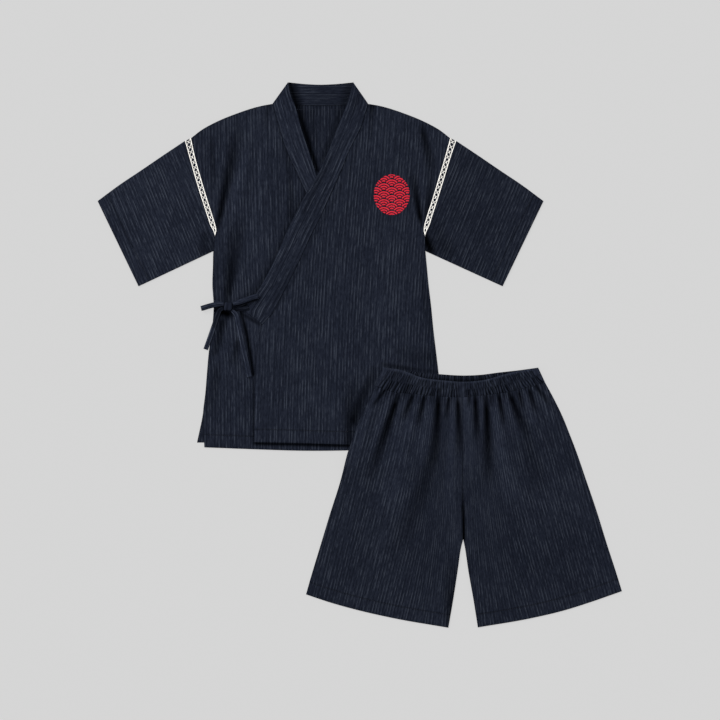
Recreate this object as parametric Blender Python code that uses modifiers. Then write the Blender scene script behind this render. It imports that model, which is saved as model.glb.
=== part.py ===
"""A jinbei laid flat: a wrap jacket with laced-in short sleeves, tied at its side, and gathered shorts
whose waist lies over the jacket's lower corner.

Each garment is drawn in millimetres in its own frame: across from its centre line (positive to the
wearer's left) and down from the top of that line. The tables say where its edges, bands and folds run,
and the functions turn them into cloth walls in metres, +Z up, resting on z = 0.
"""

import math
from collections import namedtuple

import bmesh
import bpy

MM = 0.001

# Where each garment lies on the table, and how far the shorts are turned on it.
JACKET_X = -82.25
JACKET_Y = 570.28
SHORTS_X = 213.35
SHORTS_Y = -22.92
SHORTS_TURN = math.radians(0.58)

# Walls of cloth, and the room between them.
WALL = 1.2
BAND_WALL = 1.6
LACE_WALL = 1.0
TIE_WALL = 1.4
ELASTIC_WALL = 1.4
SEAM = 0.3
BAND_SEAM = 0.45
ROOM = 0.4
LEG_ROOM = 0.8

# Heights at which the layers of the jacket lie.
FRONT_LIES = WALL + ROOM
COLLAR_LIES = BAND_WALL + ROOM
LAP_LIES = COLLAR_LIES + BAND_WALL + ROOM
LAP_RAMP = 30.0
FRONT_LOFT = 1.6
EDGE_EASE = 70.0
LAP_EASE = 24.0
SLEEVE_HIGH = 3.4
SLEEVE_LOFT = 1.6
LACE_LIES = 2.2

# How the shorts step down off the jacket's edge.
STEP_FLAT = 24.0
STEP_RAMP = 48.0
STEP_CLEAR = 12.0
LEG_LOFT = 2.2

# Openwork of the insertion lace.
LACE_DIAMONDS = 10
DIAMOND_LONG = 9.0
DIAMOND_WIDE = 5.2
DIAMOND_DEEP = 4.0
DIAMOND_FIRST = 14.0
DIAMOND_LAST = 26.0
LACE_END_SLOPE = 0.45

# Gathers of the waistband.
BAND_GATHERS = 42
GATHER_HIGH = 1.0
GATHER_UNEVEN = 0.2
GATHER_PACE = 1.7
BAND_ROWS = 2
FRONT_GATHER_STEPS = 3
BACK_GATHER_STEPS = 2

# Steps across and down the panels.
BACK_STEPS = (14, 16)
FRONT_STEPS = (14, 20)
NECK_STEPS = (12, 2)
COLLAR_STEPS = (2, 22)
LACE_STEPS = (2, 12)
SLEEVE_SECTIONS = 8
SLEEVE_STEPS = 10
LEG_BACK_STEPS = (16, 13)
LEG_FRONT_STEPS = (32, 13)
LEG_CROWD = 1.6

# Share of a sleeve's length over which it rises from the armhole and sinks to the cuff.
SLEEVE_RISE = 0.25
SLEEVE_SINK = 0.2
FOLD_EASE = 30.0

CLOTH_ROUGHNESS = 0.9
NAVY = (0.011, 0.016, 0.030)
CREAM = (0.83, 0.78, 0.68)

Spot = namedtuple("Spot", "across down")
Side = namedtuple("Side", "down right left lace")
Leg = namedtuple("Leg", "down right left")
Fold = namedtuple("Fold", "across down to_across to_down width high end_high")
Stop = namedtuple("Stop", "across down rise tilt")

SHOULDER_SLOPE = 0.415
SHOULDER = (
    Spot(101, 43),
    Spot(123, 46),
    Spot(178, 63),
    Spot(219, 80),
    Spot(250, 97),
    Spot(272, 114),
)

# Armhole and side seam, how far out on each side of the wearer, and the lace's width along the armhole.
BODY_EDGE = (
    Side(114, 272.0, 272.0, 12.5),
    Side(147, 265.0, 265.0, 12.0),
    Side(200, 250.5, 250.5, 11.5),
    Side(248, 236.0, 236.0, 11.0),
    Side(281, 225.0, 226.0, 10.0),
    Side(298, 223.5, 222.5, 6.5),
    Side(315, 223.0, 220.5, 1.5),
    Side(349, 225.0, 220.0, 0.0),
    Side(382, 226.0, 223.0, 0.0),
    Side(424, 227.0, 227.0, 0.0),
    Side(466, 224.5, 232.0, 0.0),
    Side(517, 228.0, 237.0, 0.0),
    Side(567, 235.0, 243.0, 0.0),
    Side(601, 238.0, 247.0, 0.0),
    Side(650, 242.0, 252.5, 0.0),
    Side(689, 246.5, 257.0, 0.0),
    Side(765, 244.0, 265.0, 0.0),
)
ARMHOLE_TOP = 114.0
ARMHOLE_FOOT = 315.0
SLIT_TOP = 690.0
BACK_HEM = 753.0
BACK_FLARE = 13.0

UNDER_HEM = (Spot(-244, 761), Spot(-140, 765), Spot(-43, 768), Spot(139, 768))
OVER_HEM = (Spot(-140, 752), Spot(-43, 756), Spot(59, 759), Spot(264, 754))

# Collar band, from the shoulder down. The under band crosses to the wearer's left beneath the over lap.
UNDER_BAND_INNER = (
    Spot(-68, -1),
    Spot(-64, 19),
    Spot(-52, 49),
    Spot(-40, 94),
    Spot(-24, 143),
    Spot(-8, 191),
    Spot(28, 270),
    Spot(72, 350),
    Spot(124, 425),
    Spot(158, 470),
)
UNDER_BAND_OUTER = (
    Spot(-101, 42),
    Spot(-91, 77),
    Spot(-75, 130),
    Spot(-61, 163),
    Spot(-44, 199),
    Spot(-14, 268),
    Spot(30, 360),
    Spot(78, 445),
    Spot(118, 500),
)
OVER_BAND_INNER = (
    Spot(68, -1),
    Spot(62, 20),
    Spot(50, 56),
    Spot(37, 88),
    Spot(17, 139),
    Spot(-6, 190),
    Spot(-40, 247),
    Spot(-68, 303),
    Spot(-89, 352),
    Spot(-124, 422),
    Spot(-163, 475),
)
OVER_BAND_OUTER = (
    Spot(100, 42),
    Spot(85, 91),
    Spot(63, 134),
    Spot(37, 198),
    Spot(2, 275),
    Spot(-19, 317),
    Spot(-47, 377),
    Spot(-75, 433),
    Spot(-103, 485),
    Spot(-122, 505),
)
LAPS_CROSS_DOWN = 190.0
OVER_FREE_EDGE = (
    Spot(-122, 505),
    Spot(-129, 544),
    Spot(-135, 572),
    Spot(-139, 617),
    Spot(-139, 685),
    Spot(-140, 752),
)
UNDER_FREE_EDGE = (Spot(118, 500), Spot(134, 580), Spot(139, 768))
UNDER_LAP_EDGE = UNDER_BAND_INNER + UNDER_FREE_EDGE
OVER_LAP_EDGE = OVER_BAND_INNER + OVER_FREE_EDGE
NECK_TOP = (Spot(-67, 0), Spot(0, 2.5), Spot(67, 0))
NECK_SEAM = (Spot(-97, 42.4), Spot(0, 43.6), Spot(97, 42.4))
BACK_NECK = Spot(0, 44.2)

SLEEVE_TOP = (Spot(284.5, 121), Spot(326, 147), Spot(376, 181), Spot(425, 214), Spot(468, 246))
SLEEVE_FOOT = Spot(382, 425)
UNDER_ARM = (333.0, 351.0)

# Where the shorts' side edge crosses the jacket, at their waist and at the jacket's hem.
SHORTS_CROSS_HIGH = Spot(122, 590)
SHORTS_CROSS_LOW = Spot(62, 768)
PRESSED_MARGIN = 45.0
PRESSED_EASE = 30.0

# Folds of the jacket: a negative height is a trough.
UNDER_FOLDS = (
    Fold(-176, 92, -205, 270, 26, -0.7, -0.9),
    Fold(-205, 270, -196, 445, 20, -0.9, -1.6),
    Fold(-212, 492, -219, 570, 15, -1.4, -0.4),
    Fold(-195, 500, -209, 610, 15, 1.5, 0.4),
    Fold(-176, 520, -186, 620, 14, -1.4, -0.5),
    Fold(-160, 380, -178, 448, 18, 0.9, 0.9),
)
OVER_FOLDS = (
    Fold(191, 100, 219, 300, 24, -1.0, -0.6),
    Fold(219, 300, 190, 470, 30, -0.6, -0.2),
    Fold(150, 120, 120, 330, 40, 0.5, 0.6),
    Fold(60, 330, 20, 560, 42, 0.5, 0.5),
    Fold(-60, 470, -40, 740, 34, 0.5, 0.7),
)
SLEEVE_FOLDS = (
    Fold(300, 150, 330, 340, 24, 0.7, 0.4),
    Fold(360, 200, 330, 380, 26, -0.6, -0.6),
)

# Tie bands and their bow at the wearer's right side: where each band's middle runs, how high its lower
# edge lies above the table where nothing holds it up higher, and its tilt about its run in degrees.
KNOT = Spot(-193.5, 467)
KNOT_LONG = 17.0
KNOT_WIDE = 18.0
KNOT_HIGH = 8.5
TIE_WIDE = 13.0
LOOP_WIDE = 10.0
BOW_STEPS = 3
BOW_MARGIN = 7.0
KNOT_ROUND = 3.2
FOLD_SHORT = 2.4
BODY_STRAND = (Stop(-223, 461, 0, 0), Stop(-213, 462, 0, 0), Stop(-202.8, 464.5, 4.6, 0))
BODY_TAIL = (
    Stop(-203.4, 471, 6.6, 0),
    Stop(-212, 474, 6.4, 0),
    Stop(-222, 485, 4.2, 0),
    Stop(-230, 508, 0, 0),
    Stop(-235, 530, 0, 0),
    Stop(-241, 556, 0, 0),
)
BODY_LOOP = (
    Stop(-202.3, 461, 11.2, 0),
    Stop(-216, 461, 11.4, 0),
    Stop(-236, 464, 9.4, 0),
    Stop(-245.5, 466, 7.6, 0),
    Stop(-248.5, 466.6, 6.0, 0),
    Stop(-246, 466.4, 4.4, 0),
    Stop(-236, 464.6, 5.9, 0),
    Stop(-216, 462, 8.4, 0),
    Stop(-202.3, 462, 8.3, 0),
)
COLLAR_STRAND = (Stop(-150, 470, 6.0, 0), Stop(-166, 472, 6.0, 0), Stop(-182.8, 466.4, 5.0, 0))
COLLAR_TAIL = (
    Stop(-188, 476.6, 5.0, 0),
    Stop(-182, 487, 4.0, 0),
    Stop(-172, 515, 0, 0),
    Stop(-162, 562, 0, 0),
    Stop(-152, 613, 0, 0),
)
COLLAR_LOOP = (
    Stop(-183.0, 462, 10.6, 4),
    Stop(-168, 457.5, 12.4, 8),
    Stop(-148, 450.7, 13.2, 8),
    Stop(-136, 446.8, 13.3, 8),
    Stop(-132.4, 446.2, 12.6, 7),
    Stop(-129.8, 447.4, 10.4, 4),
    Stop(-132.4, 448.8, 8.2, 1),
    Stop(-136, 450.2, 7.9, 0),
    Stop(-148, 454.6, 7.9, -2),
    Stop(-166, 461.6, 7.9, -2),
    Stop(-182.7, 467.4, 7.9, 0),
)

# Shorts: the elastic channel's edges, the side and inner edges of the legs and their hems.
BAND_TOP = (
    Spot(-165, 0),
    Spot(-125, 6.5),
    Spot(-84, 22),
    Spot(-35, 29),
    Spot(7, 32),
    Spot(51, 28),
    Spot(88, 18),
    Spot(120, 10.5),
    Spot(161, 4.5),
)
BACK_BAND_TOP = (
    Spot(-165, 0),
    Spot(-125, 6),
    Spot(-84, 13),
    Spot(-49, 17),
    Spot(7, 19.5),
    Spot(39, 18),
    Spot(78, 13.5),
    Spot(122, 9),
    Spot(161, 4),
)
RIGHT_BAND_FOOT = (Spot(-180, 39), Spot(-159, 48), Spot(-96, 57), Spot(-45, 62.5), Spot(0, 65))
LEFT_BAND_FOOT = (Spot(0, 65), Spot(64, 59), Spot(113, 52), Spot(155, 41), Spot(174, 33))
LEG_OUTER = (
    Leg(36, 178.5, 175.0),
    Leg(73, 198.0, 195.0),
    Leg(114, 217.0, 214.0),
    Leg(140, 227.5, 224.0),
    Leg(173, 239.0, 236.5),
    Leg(240, 257.0, 259.0),
    Leg(307, 279.0, 281.0),
    Leg(374, 300.0, 301.0),
    Leg(441, 321.0, 322.0),
    Leg(475, 331.0, 332.0),
)
LEG_INNER = (
    Leg(65, 0.0, 0.0),
    Leg(287, 0.0, 0.0),
    Leg(362, 0.0, 0.0),
    Leg(377, 4.0, 3.0),
    Leg(427, 12.0, 10.0),
    Leg(494, 23.0, 21.0),
    Leg(548, 33.0, 29.0),
)
HEM_SLOPE = 0.24
RIGHT_HEM = (Spot(-331, 475), Spot(-282, 492), Spot(-223, 509), Spot(-147, 527), Spot(-33, 548))
LEFT_HEM = (Spot(29, 548), Spot(140, 530), Spot(211, 514), Spot(267, 497), Spot(332, 475))

# Gathers falling from the band, and the longer folds that they open into.
LEG_FOLDS = (
    Fold(-163, 46, -205, 140, 8, -1.2, 0),
    Fold(-145, 50, -174, 175, 9, -2.0, -0.4),
    Fold(-124, 54, -148, 150, 8, -1.6, 0),
    Fold(-104, 56, -122, 140, 8, -1.4, 0),
    Fold(-88, 58, -97, 115, 7, -1.1, 0),
    Fold(-74, 60, -88, 180, 8, -1.9, -0.3),
    Fold(-49, 62, -61, 170, 10, -2.4, -1.7),
    Fold(-61, 170, -76, 320, 14, -1.7, -0.3),
    Fold(-30, 64, -34, 130, 7, -1.4, 0),
    Fold(-9, 66, -12, 150, 8, -2.0, -0.2),
    Fold(15, 64, 16, 110, 6, -0.9, 0),
    Fold(32, 63, 35, 140, 7, -1.6, 0),
    Fold(55, 60, 59, 180, 9, -2.3, -0.6),
    Fold(81, 57, 88, 145, 8, -1.6, 0),
    Fold(96, 55, 106, 120, 7, -1.1, 0),
    Fold(111, 52, 128, 185, 9, -2.1, -0.4),
    Fold(129, 48, 147, 120, 7, -1.2, 0),
    Fold(147, 43, 180, 160, 9, -1.8, -0.3),
    Fold(-190, 200, -240, 430, 30, -0.8, -0.3),
    Fold(-130, 220, -150, 480, 34, 0.6, 0.5),
    Fold(150, 210, 190, 470, 32, -0.8, -0.3),
    Fold(95, 230, 110, 500, 32, 0.5, 0.5),
    Fold(0, 300, 0, 366, 20, -2.4, -2.2),
)


def ease(share):
    """0 to 1 with a soft start and finish."""
    share = min(max(share, 0.0), 1.0)
    return share * share * (3.0 - 2.0 * share)


def bend(before, start, finish, after, share):
    """One number between start and finish on a line that also heeds its neighbours (Catmull-Rom)."""
    straight = finish - before
    curve = 2.0 * before - 5.0 * start + 4.0 * finish - after
    twist = 3.0 * (start - finish) + after - before
    return start + 0.5 * share * (straight + share * (curve + share * twist))


def smooth_line(stops, steps):
    """Rows of numbers along a smooth line through the stops, with this many steps to each span."""
    ends = [stops[0], *stops, stops[-1]]
    line = []
    for k in range(1, len(stops)):
        for step in range(steps):
            share = step / steps
            line.append([bend(*four, share) for four in zip(*ends[k - 1 : k + 3])])
    line.append(list(stops[-1]))
    return line


def spaced(stops, count, crowd=0.0):
    """A line through all the stops in this many steps, longer spans in more, crowded to its start."""
    spans = list(zip(stops, stops[1:]))
    shares = [1] * len(spans)
    while sum(shares) < count:
        lengths = []
        for k, (start, finish) in enumerate(spans):
            weight = 1.0 + crowd * (1.0 - k / len(spans))
            lengths.append(weight * math.dist(start, finish) / shares[k])
        shares[lengths.index(max(lengths))] += 1
    line = []
    for (start, finish), steps in zip(spans, shares):
        for step in range(steps):
            part = step / steps
            line.append([a + (b - a) * part for a, b in zip(start, finish)])
    line.append(list(stops[-1]))
    return line


def read(rows, column, down):
    """A table's column at this many millimetres down, straight between its rows."""
    if down <= rows[0].down:
        return getattr(rows[0], column)
    for above, below in zip(rows, rows[1:]):
        if below.down >= down:
            part = (down - above.down) / (below.down - above.down)
            return getattr(above, column) * (1.0 - part) + getattr(below, column) * part
    return getattr(rows[-1], column)


def patch(top, foot, left, right, size, crowd=0.0):
    """Rows of places inside four edges that meet at their ends, in columns and rows of steps."""
    columns, rows = size
    top, foot = (spaced(edge, columns) for edge in (top, foot))
    left, right = (spaced(edge, rows, crowd) for edge in (left, right))
    places = []
    for j in range(rows + 1):
        v = j / rows
        row = []
        for i in range(columns + 1):
            u = i / columns
            place = []
            for axis in range(2):
                upper = top[0][axis] * (1.0 - u) + top[-1][axis] * u
                lower = foot[0][axis] * (1.0 - u) + foot[-1][axis] * u
                between_rows = (top[i][axis] - upper) * (1.0 - v) + (foot[i][axis] - lower) * v
                place.append(between_rows + left[j][axis] * (1.0 - u) + right[j][axis] * u)
            row.append(place)
        places.append(row)
    return places


def relief(across, down, folds):
    """How far the folds lift (or sink) the cloth here; each fades out sideways as a soft bell."""
    height = 0.0
    for fold in folds:
        run_across = fold.to_across - fold.across
        run_down = fold.to_down - fold.down
        share = (across - fold.across) * run_across + (down - fold.down) * run_down
        share = min(max(share / (run_across**2 + run_down**2), 0.0), 1.0)
        off = math.hypot(across - fold.across - share * run_across, down - fold.down - share * run_down)
        if off < fold.width:
            bell = 0.5 + 0.5 * math.cos(math.pi * off / fold.width)
            height += bell * (fold.high + (fold.end_high - fold.high) * share)
    return height


def in_jacket(across, down):
    """The jacket's own place as millimetres on the table."""
    return JACKET_X + across, JACKET_Y - down


def in_shorts(across, down):
    """The shorts' own place as millimetres on the table."""
    cos, sin = math.cos(SHORTS_TURN), math.sin(SHORTS_TURN)
    return SHORTS_X + across * cos + down * sin, SHORTS_Y + across * sin - down * cos


def mirrored(stops):
    """The same stops on the other side of the garment's centre line."""
    return tuple(Spot(-stop.across, stop.down) for stop in stops)


def reach(stops, down):
    """How far across an edge that runs down the cloth lies, this many millimetres down."""
    return read(stops, "across", down)


def body_loft(across, down):
    """0 at the edges of a front, 1 where the cloth stands highest off what lies under it."""
    side = "right" if across < 0 else "left"
    inward = read(BODY_EDGE, side, down) - abs(across)
    below_shoulder = down - SHOULDER[0].down - SHOULDER_SLOPE * max(abs(across) - SHOULDER[0].across, 0.0)
    above_hem = BACK_HEM - down
    return ease(inward / EDGE_EASE) * ease(below_shoulder / EDGE_EASE) * ease(above_hem / EDGE_EASE)


def under_shorts(across, down):
    """1 where the shorts press the jacket flat, 0 well clear of them."""
    side = read((SHORTS_CROSS_HIGH, SHORTS_CROSS_LOW), "across", down)
    inside_top = (down - SHORTS_CROSS_HIGH.down + PRESSED_MARGIN) / PRESSED_EASE
    inside_edge = (across - side + PRESSED_MARGIN) / PRESSED_EASE
    return ease(inside_top) * ease(inside_edge)


def lap_height(across, down):
    """Height of the over lap's underside: on the back, or higher where the under lap lies between."""
    off = across - reach(UNDER_LAP_EDGE, down) - STEP_CLEAR
    return FRONT_LIES + (LAP_LIES - FRONT_LIES) * ease(1.0 - off / LAP_RAMP)


def under_front_height(across, down):
    """The under front's underside, which lies flat where the over lap covers it."""
    lift = FRONT_LOFT * body_loft(across, down) + relief(across, down, UNDER_FOLDS)
    clear = 1.0
    if down > LAPS_CROSS_DOWN:
        clear = ease((reach(OVER_LAP_EDGE, down) - across) / LAP_EASE)
    return FRONT_LIES + max(lift, 0.0) * clear


def over_front_height(across, down):
    """The over front's underside, pressed flat where the shorts lie on it."""
    lift = FRONT_LOFT * body_loft(across, down) + relief(across, down, OVER_FOLDS)
    return lap_height(across, down) + max(lift, 0.0) * (1.0 - under_shorts(across, down))


def over_band_height(across, down):
    """The over lap's collar band, level with the under band until the laps cross."""
    return max(COLLAR_LIES, lap_height(across, down))


def cloth_under_bow(across, down):
    """Height of the highest cloth within a tie band's half width of this place."""
    highest = 0.0
    for step_across in (-BOW_MARGIN, 0.0, BOW_MARGIN):
        for step_down in (-BOW_MARGIN, 0.0, BOW_MARGIN):
            here = across + step_across
            there = down + step_down
            if here > reach(OVER_LAP_EDGE, there) - 0.5 * BOW_MARGIN:
                highest = max(highest, LAP_LIES + BAND_WALL)
            elif here > -read(BODY_EDGE, "right", there) - 0.5 * BOW_MARGIN:
                highest = max(highest, under_front_height(here, there) + WALL)
    return highest


def table_or_jacket(across, down):
    """What a place in the shorts lies on: the jacket where it reaches, stepping down to the table."""
    x, y = in_shorts(across, down)
    jacket_across = x - JACKET_X
    jacket_down = JACKET_Y - y
    past_side = jacket_across - read(BODY_EDGE, "left", jacket_down) - STEP_FLAT
    past_hem = jacket_down - SHORTS_CROSS_LOW.down - STEP_FLAT
    past = math.hypot(max(past_side, 0.0), max(past_hem, 0.0))
    on_jacket = lap_height(jacket_across, jacket_down) + WALL + LEG_ROOM
    return on_jacket * ease(1.0 - past / STEP_RAMP)


def leg_loft(across, down):
    """0 along the sides and the hem, half at the band, 1 in the middle of a leg."""
    side = "right" if across < 0 else "left"
    outward = read(LEG_OUTER, side, down) - abs(across)
    above_hem = LEG_INNER[-1].down - HEM_SLOPE * abs(across) - down
    below_band = down - LEG_INNER[0].down
    top = 0.5 + 0.5 * ease(below_band / EDGE_EASE)
    return ease(outward / EDGE_EASE) * ease(above_hem / EDGE_EASE) * top


def leg_front_height(across, down):
    """A leg front's underside, which lies on the leg's back."""
    lift = LEG_LOFT * leg_loft(across, down) + relief(across, down, LEG_FOLDS)
    return table_or_jacket(across, down) + WALL + LEG_ROOM + max(lift, 0.0)


def cloth_colour(name, colour):
    """A plain matt finish of one colour."""
    finish = bpy.data.materials.new(name)
    finish.use_nodes = True
    shader = finish.node_tree.nodes["Principled BSDF"]
    shader.inputs["Base Color"].default_value = (*colour, 1.0)
    shader.inputs["Roughness"].default_value = CLOTH_ROUGHNESS
    shader.inputs["Metallic"].default_value = 0.0
    return finish


def put(collection, name, mesh, colour):
    """A named object in the collection from a bmesh in metres, with a finish of its own."""
    data = bpy.data.meshes.new(name)
    mesh.to_mesh(data)
    mesh.free()
    data.materials.append(cloth_colour(name + "_cloth", colour))
    data.shade_smooth()
    thing = bpy.data.objects.new(name, data)
    collection.objects.link(thing)
    return thing


def thicken(thing, wall, offset=1.0):
    """Gives an open surface its wall of cloth."""
    shell = thing.modifiers.new("wall", "SOLIDIFY")
    shell.thickness = wall * MM
    shell.offset = offset


def grid(places):
    """A bmesh grid with a corner for each place; returns it with each corner's column and row."""
    columns, rows = len(places[0]) - 1, len(places) - 1
    mesh = bmesh.new()
    bmesh.ops.create_grid(mesh, x_segments=columns, y_segments=rows, size=1.0)
    for corner in mesh.verts:
        corner.co.x = round((0.5 + 0.5 * corner.co.x) * columns)
        corner.co.y = round((0.5 - 0.5 * corner.co.y) * rows)
    return mesh


def sheet(collection, name, garment, places, height, wall, colour=NAVY):
    """One layer of cloth over its outline's places, with height giving its underside."""
    mesh = grid(places)
    for corner in mesh.verts:
        across, down = places[int(corner.co.y)][int(corner.co.x)]
        x, y = garment(across, down)
        corner.co = (x * MM, y * MM, height(across, down) * MM)
    thing = put(collection, name, mesh, colour)
    thicken(thing, wall)
    return thing


def gathered(collection, name, places, height, wall, raised):
    """A band with a plain inside whose outer points are raised in gathers."""
    mesh = grid(places)
    outer = bmesh.ops.extrude_face_region(mesh, geom=mesh.faces[:])["geom"]
    outer = {item for item in outer if isinstance(item, bmesh.types.BMVert)}
    for corner in mesh.verts:
        row, column = int(corner.co.y), int(corner.co.x)
        across, down = places[row][column]
        x, y = in_shorts(across, down)
        z = height(across, down)
        if corner in outer:
            z += wall + raised(row, column)
        corner.co = (x * MM, y * MM, z * MM)
    bmesh.ops.recalc_face_normals(mesh, faces=mesh.faces[:])
    return put(collection, name, mesh, NAVY)


def flat(height):
    """A height that is the same everywhere."""

    def same(across, down):
        return height

    return same


def side_rows(side, first, last, beyond=0.0):
    """The body's edge between two heights, a little beyond its seam."""
    sign = -1.0 if side == "right" else 1.0
    rows = [row for row in BODY_EDGE if first <= row.down <= last]
    return tuple(Spot(sign * (getattr(row, side) + beyond), row.down) for row in rows)


def shifted(stops, across):
    """The same stops this far across."""
    return tuple(Spot(stop.across + across, stop.down) for stop in stops)


def make_back(collection):
    """The body back, flat on the table from the shoulders to its hem."""
    right = side_rows("right", ARMHOLE_TOP, SLIT_TOP)
    left = side_rows("left", ARMHOLE_TOP, SLIT_TOP)
    right += (Spot(right[-1].across - BACK_FLARE, BACK_HEM),)
    left += (Spot(left[-1].across + BACK_FLARE, BACK_HEM),)
    top = (*reversed(mirrored(SHOULDER)), BACK_NECK, *SHOULDER)
    places = patch(top, (right[-1], left[-1]), right, left, BACK_STEPS)
    sheet(collection, "jacket_back", in_jacket, places, flat(0.0), WALL)


def make_fronts(collection):
    """The under front, then the over front that laps it."""
    shoulder = tuple(reversed(mirrored(SHOULDER)))
    side = (*side_rows("right", ARMHOLE_TOP, SLIT_TOP), UNDER_HEM[0])
    edge = shifted(UNDER_BAND_OUTER + UNDER_FREE_EDGE[1:], -BAND_SEAM)
    hem = (*UNDER_HEM[:-1], edge[-1])
    places = patch((*shoulder[:-1], edge[0]), hem, side, edge, FRONT_STEPS)
    sheet(collection, "front_right_under", in_jacket, places, under_front_height, WALL)

    side = (*side_rows("left", ARMHOLE_TOP, SLIT_TOP), OVER_HEM[-1])
    edge = shifted(OVER_BAND_OUTER + OVER_FREE_EDGE[1:], BAND_SEAM)
    hem = (edge[-1], *OVER_HEM[1:])
    places = patch((edge[0], *SHOULDER[1:]), hem, edge, side, FRONT_STEPS)
    sheet(collection, "front_left_over", in_jacket, places, over_front_height, WALL)


def make_collar(collection):
    """The band round the back neck and the band down each front."""
    ends = [(NECK_TOP[k], NECK_SEAM[k]) for k in (0, -1)]
    places = patch(NECK_TOP, NECK_SEAM, *ends, NECK_STEPS)
    sheet(collection, "collar_back", in_jacket, places, flat(0.0), BAND_WALL)
    bands = (
        ("collar_right", UNDER_BAND_OUTER, UNDER_BAND_INNER, flat(COLLAR_LIES)),
        ("collar_left", OVER_BAND_INNER, OVER_BAND_OUTER, over_band_height),
    )
    for name, left, right, height in bands:
        places = patch((left[0], right[0]), (left[-1], right[-1]), left, right, COLLAR_STEPS)
        sheet(collection, name, in_jacket, places, height, BAND_WALL)


def lace_outer_edge(side, beyond=0.0):
    """The lace's seam with the sleeve, from the shoulder to its tip under the arm."""
    sign = -1.0 if side == "right" else 1.0
    spots = []
    for row in BODY_EDGE:
        if row.down <= ARMHOLE_FOOT:
            out = getattr(row, side) + row.lace + beyond
            slope = LACE_END_SLOPE * row.lace if row.down == ARMHOLE_TOP else 0.0
            spots.append(Spot(sign * out, row.down + slope))
    return tuple(spots)


def flat_ring(wide, high, top_columns, foot_columns, corner_steps=3):
    """A flattened ring as (place across its width, height), from its first edge over the top and back."""
    round_end = high / 2.0
    between = wide - high
    ring = []
    for k in range(corner_steps + 1):
        turn = math.pi * (k / corner_steps - 0.5)
        ring.append((round_end - round_end * math.cos(turn), round_end + round_end * math.sin(turn)))
    for k in range(1, top_columns):
        ring.append((round_end + between * k / top_columns, high))
    for k in range(corner_steps + 1):
        turn = math.pi * (0.5 - k / corner_steps)
        ring.append((wide - round_end + round_end * math.cos(turn), round_end + round_end * math.sin(turn)))
    for k in range(1, foot_columns):
        ring.append((wide - round_end - between * k / foot_columns, 0.0))
    return ring


def sleeve_edges(side):
    """A sleeve's top fold and under-arm seam, its armhole and its cuff."""
    sign = -1.0 if side == "right" else 1.0
    armhole = list(lace_outer_edge(side, BAND_SEAM))
    for down in UNDER_ARM:
        armhole.append(Spot(sign * (read(BODY_EDGE, side, down) + SEAM), down))
    top = (armhole[0], *(Spot(sign * spot.across, spot.down) for spot in SLEEVE_TOP[1:]))
    cuff = Spot(sign * SLEEVE_FOOT.across, SLEEVE_FOOT.down)
    return top, (armhole[-1], cuff), armhole, (top[-1], cuff)


def make_sleeve(collection, side):
    """A short straight sleeve: a flattened tube from the lace to the cuff, open at both ends."""
    top, foot, armhole, cuff = sleeve_edges(side)
    columns = patch(top, foot, armhole, cuff, (SLEEVE_SECTIONS, SLEEVE_STEPS))
    rings = []
    for k in range(SLEEVE_SECTIONS + 1):
        line = [row[k] for row in columns]
        wide = math.dist(line[0], line[-1])
        ring = []
        for off, z in flat_ring(wide, SLEEVE_HIGH, SLEEVE_STEPS, SLEEVE_STEPS):
            place = off / wide * SLEEVE_STEPS
            row = min(int(place), SLEEVE_STEPS - 1)
            across, down = (a + (b - a) * (place - row) for a, b in zip(line[row], line[row + 1]))
            if z == SLEEVE_HIGH:
                edge = min(off, wide - off)
                u = k / SLEEVE_SECTIONS
                rising = ease(u / SLEEVE_RISE)
                loft = ease(edge / EDGE_EASE) * rising * ease((1.0 - u) / SLEEVE_SINK)
                folds = relief(abs(across), down, SLEEVE_FOLDS) * ease(edge / FOLD_EASE)
                z += max(SLEEVE_LOFT * loft + folds * rising, 0.0)
            ring.append((across, down, z))
        rings.append([*ring, ring[0]])
    mesh = grid(rings)
    for corner in mesh.verts:
        across, down, z = rings[int(corner.co.y)][int(corner.co.x)]
        x, y = in_jacket(across, down)
        corner.co = (x * MM, y * MM, z * MM)
    bmesh.ops.remove_doubles(mesh, verts=mesh.verts[:], dist=0.01 * MM)
    bmesh.ops.recalc_face_normals(mesh, faces=mesh.faces[:])
    sleeve = put(collection, "sleeve_" + side, mesh, NAVY)
    thicken(sleeve, WALL, offset=-1.0)


def diamonds(collection, side):
    """Cutters for the lace's large openings, in one row down the middle of the strip."""
    sign = -1.0 if side == "right" else 1.0
    cutters = bmesh.new()
    first = ARMHOLE_TOP + DIAMOND_FIRST
    pitch = (ARMHOLE_FOOT - DIAMOND_LAST - first) / (LACE_DIAMONDS - 1)
    for k in range(LACE_DIAMONDS):
        down = first + k * pitch
        middle = read(BODY_EDGE, side, down) + 0.5 * read(BODY_EDGE, "lace", down)
        above = read(BODY_EDGE, side, down - DIAMOND_LONG)
        below = read(BODY_EDGE, side, down + DIAMOND_LONG)
        lean = math.atan2(above - below, 2.0 * DIAMOND_LONG)
        made = bmesh.ops.create_cone(
            cutters, cap_ends=True, segments=4, radius1=0.5, radius2=0.5, depth=DIAMOND_DEEP
        )
        x, y = in_jacket(sign * middle, down)
        for corner in made["verts"]:
            wide = corner.co.x * DIAMOND_WIDE
            long = corner.co.y * DIAMOND_LONG
            turned_x = wide * math.cos(lean) + sign * long * math.sin(lean)
            turned_y = long * math.cos(lean) - sign * wide * math.sin(lean)
            corner.co = ((x + turned_x) * MM, (y + turned_y) * MM, (corner.co.z + LACE_LIES) * MM)
    cutter = put(collection, "diamonds_" + side, cutters, CREAM)
    cutter.hide_render = True
    cutter.display_type = "WIRE"
    return cutter


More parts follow.
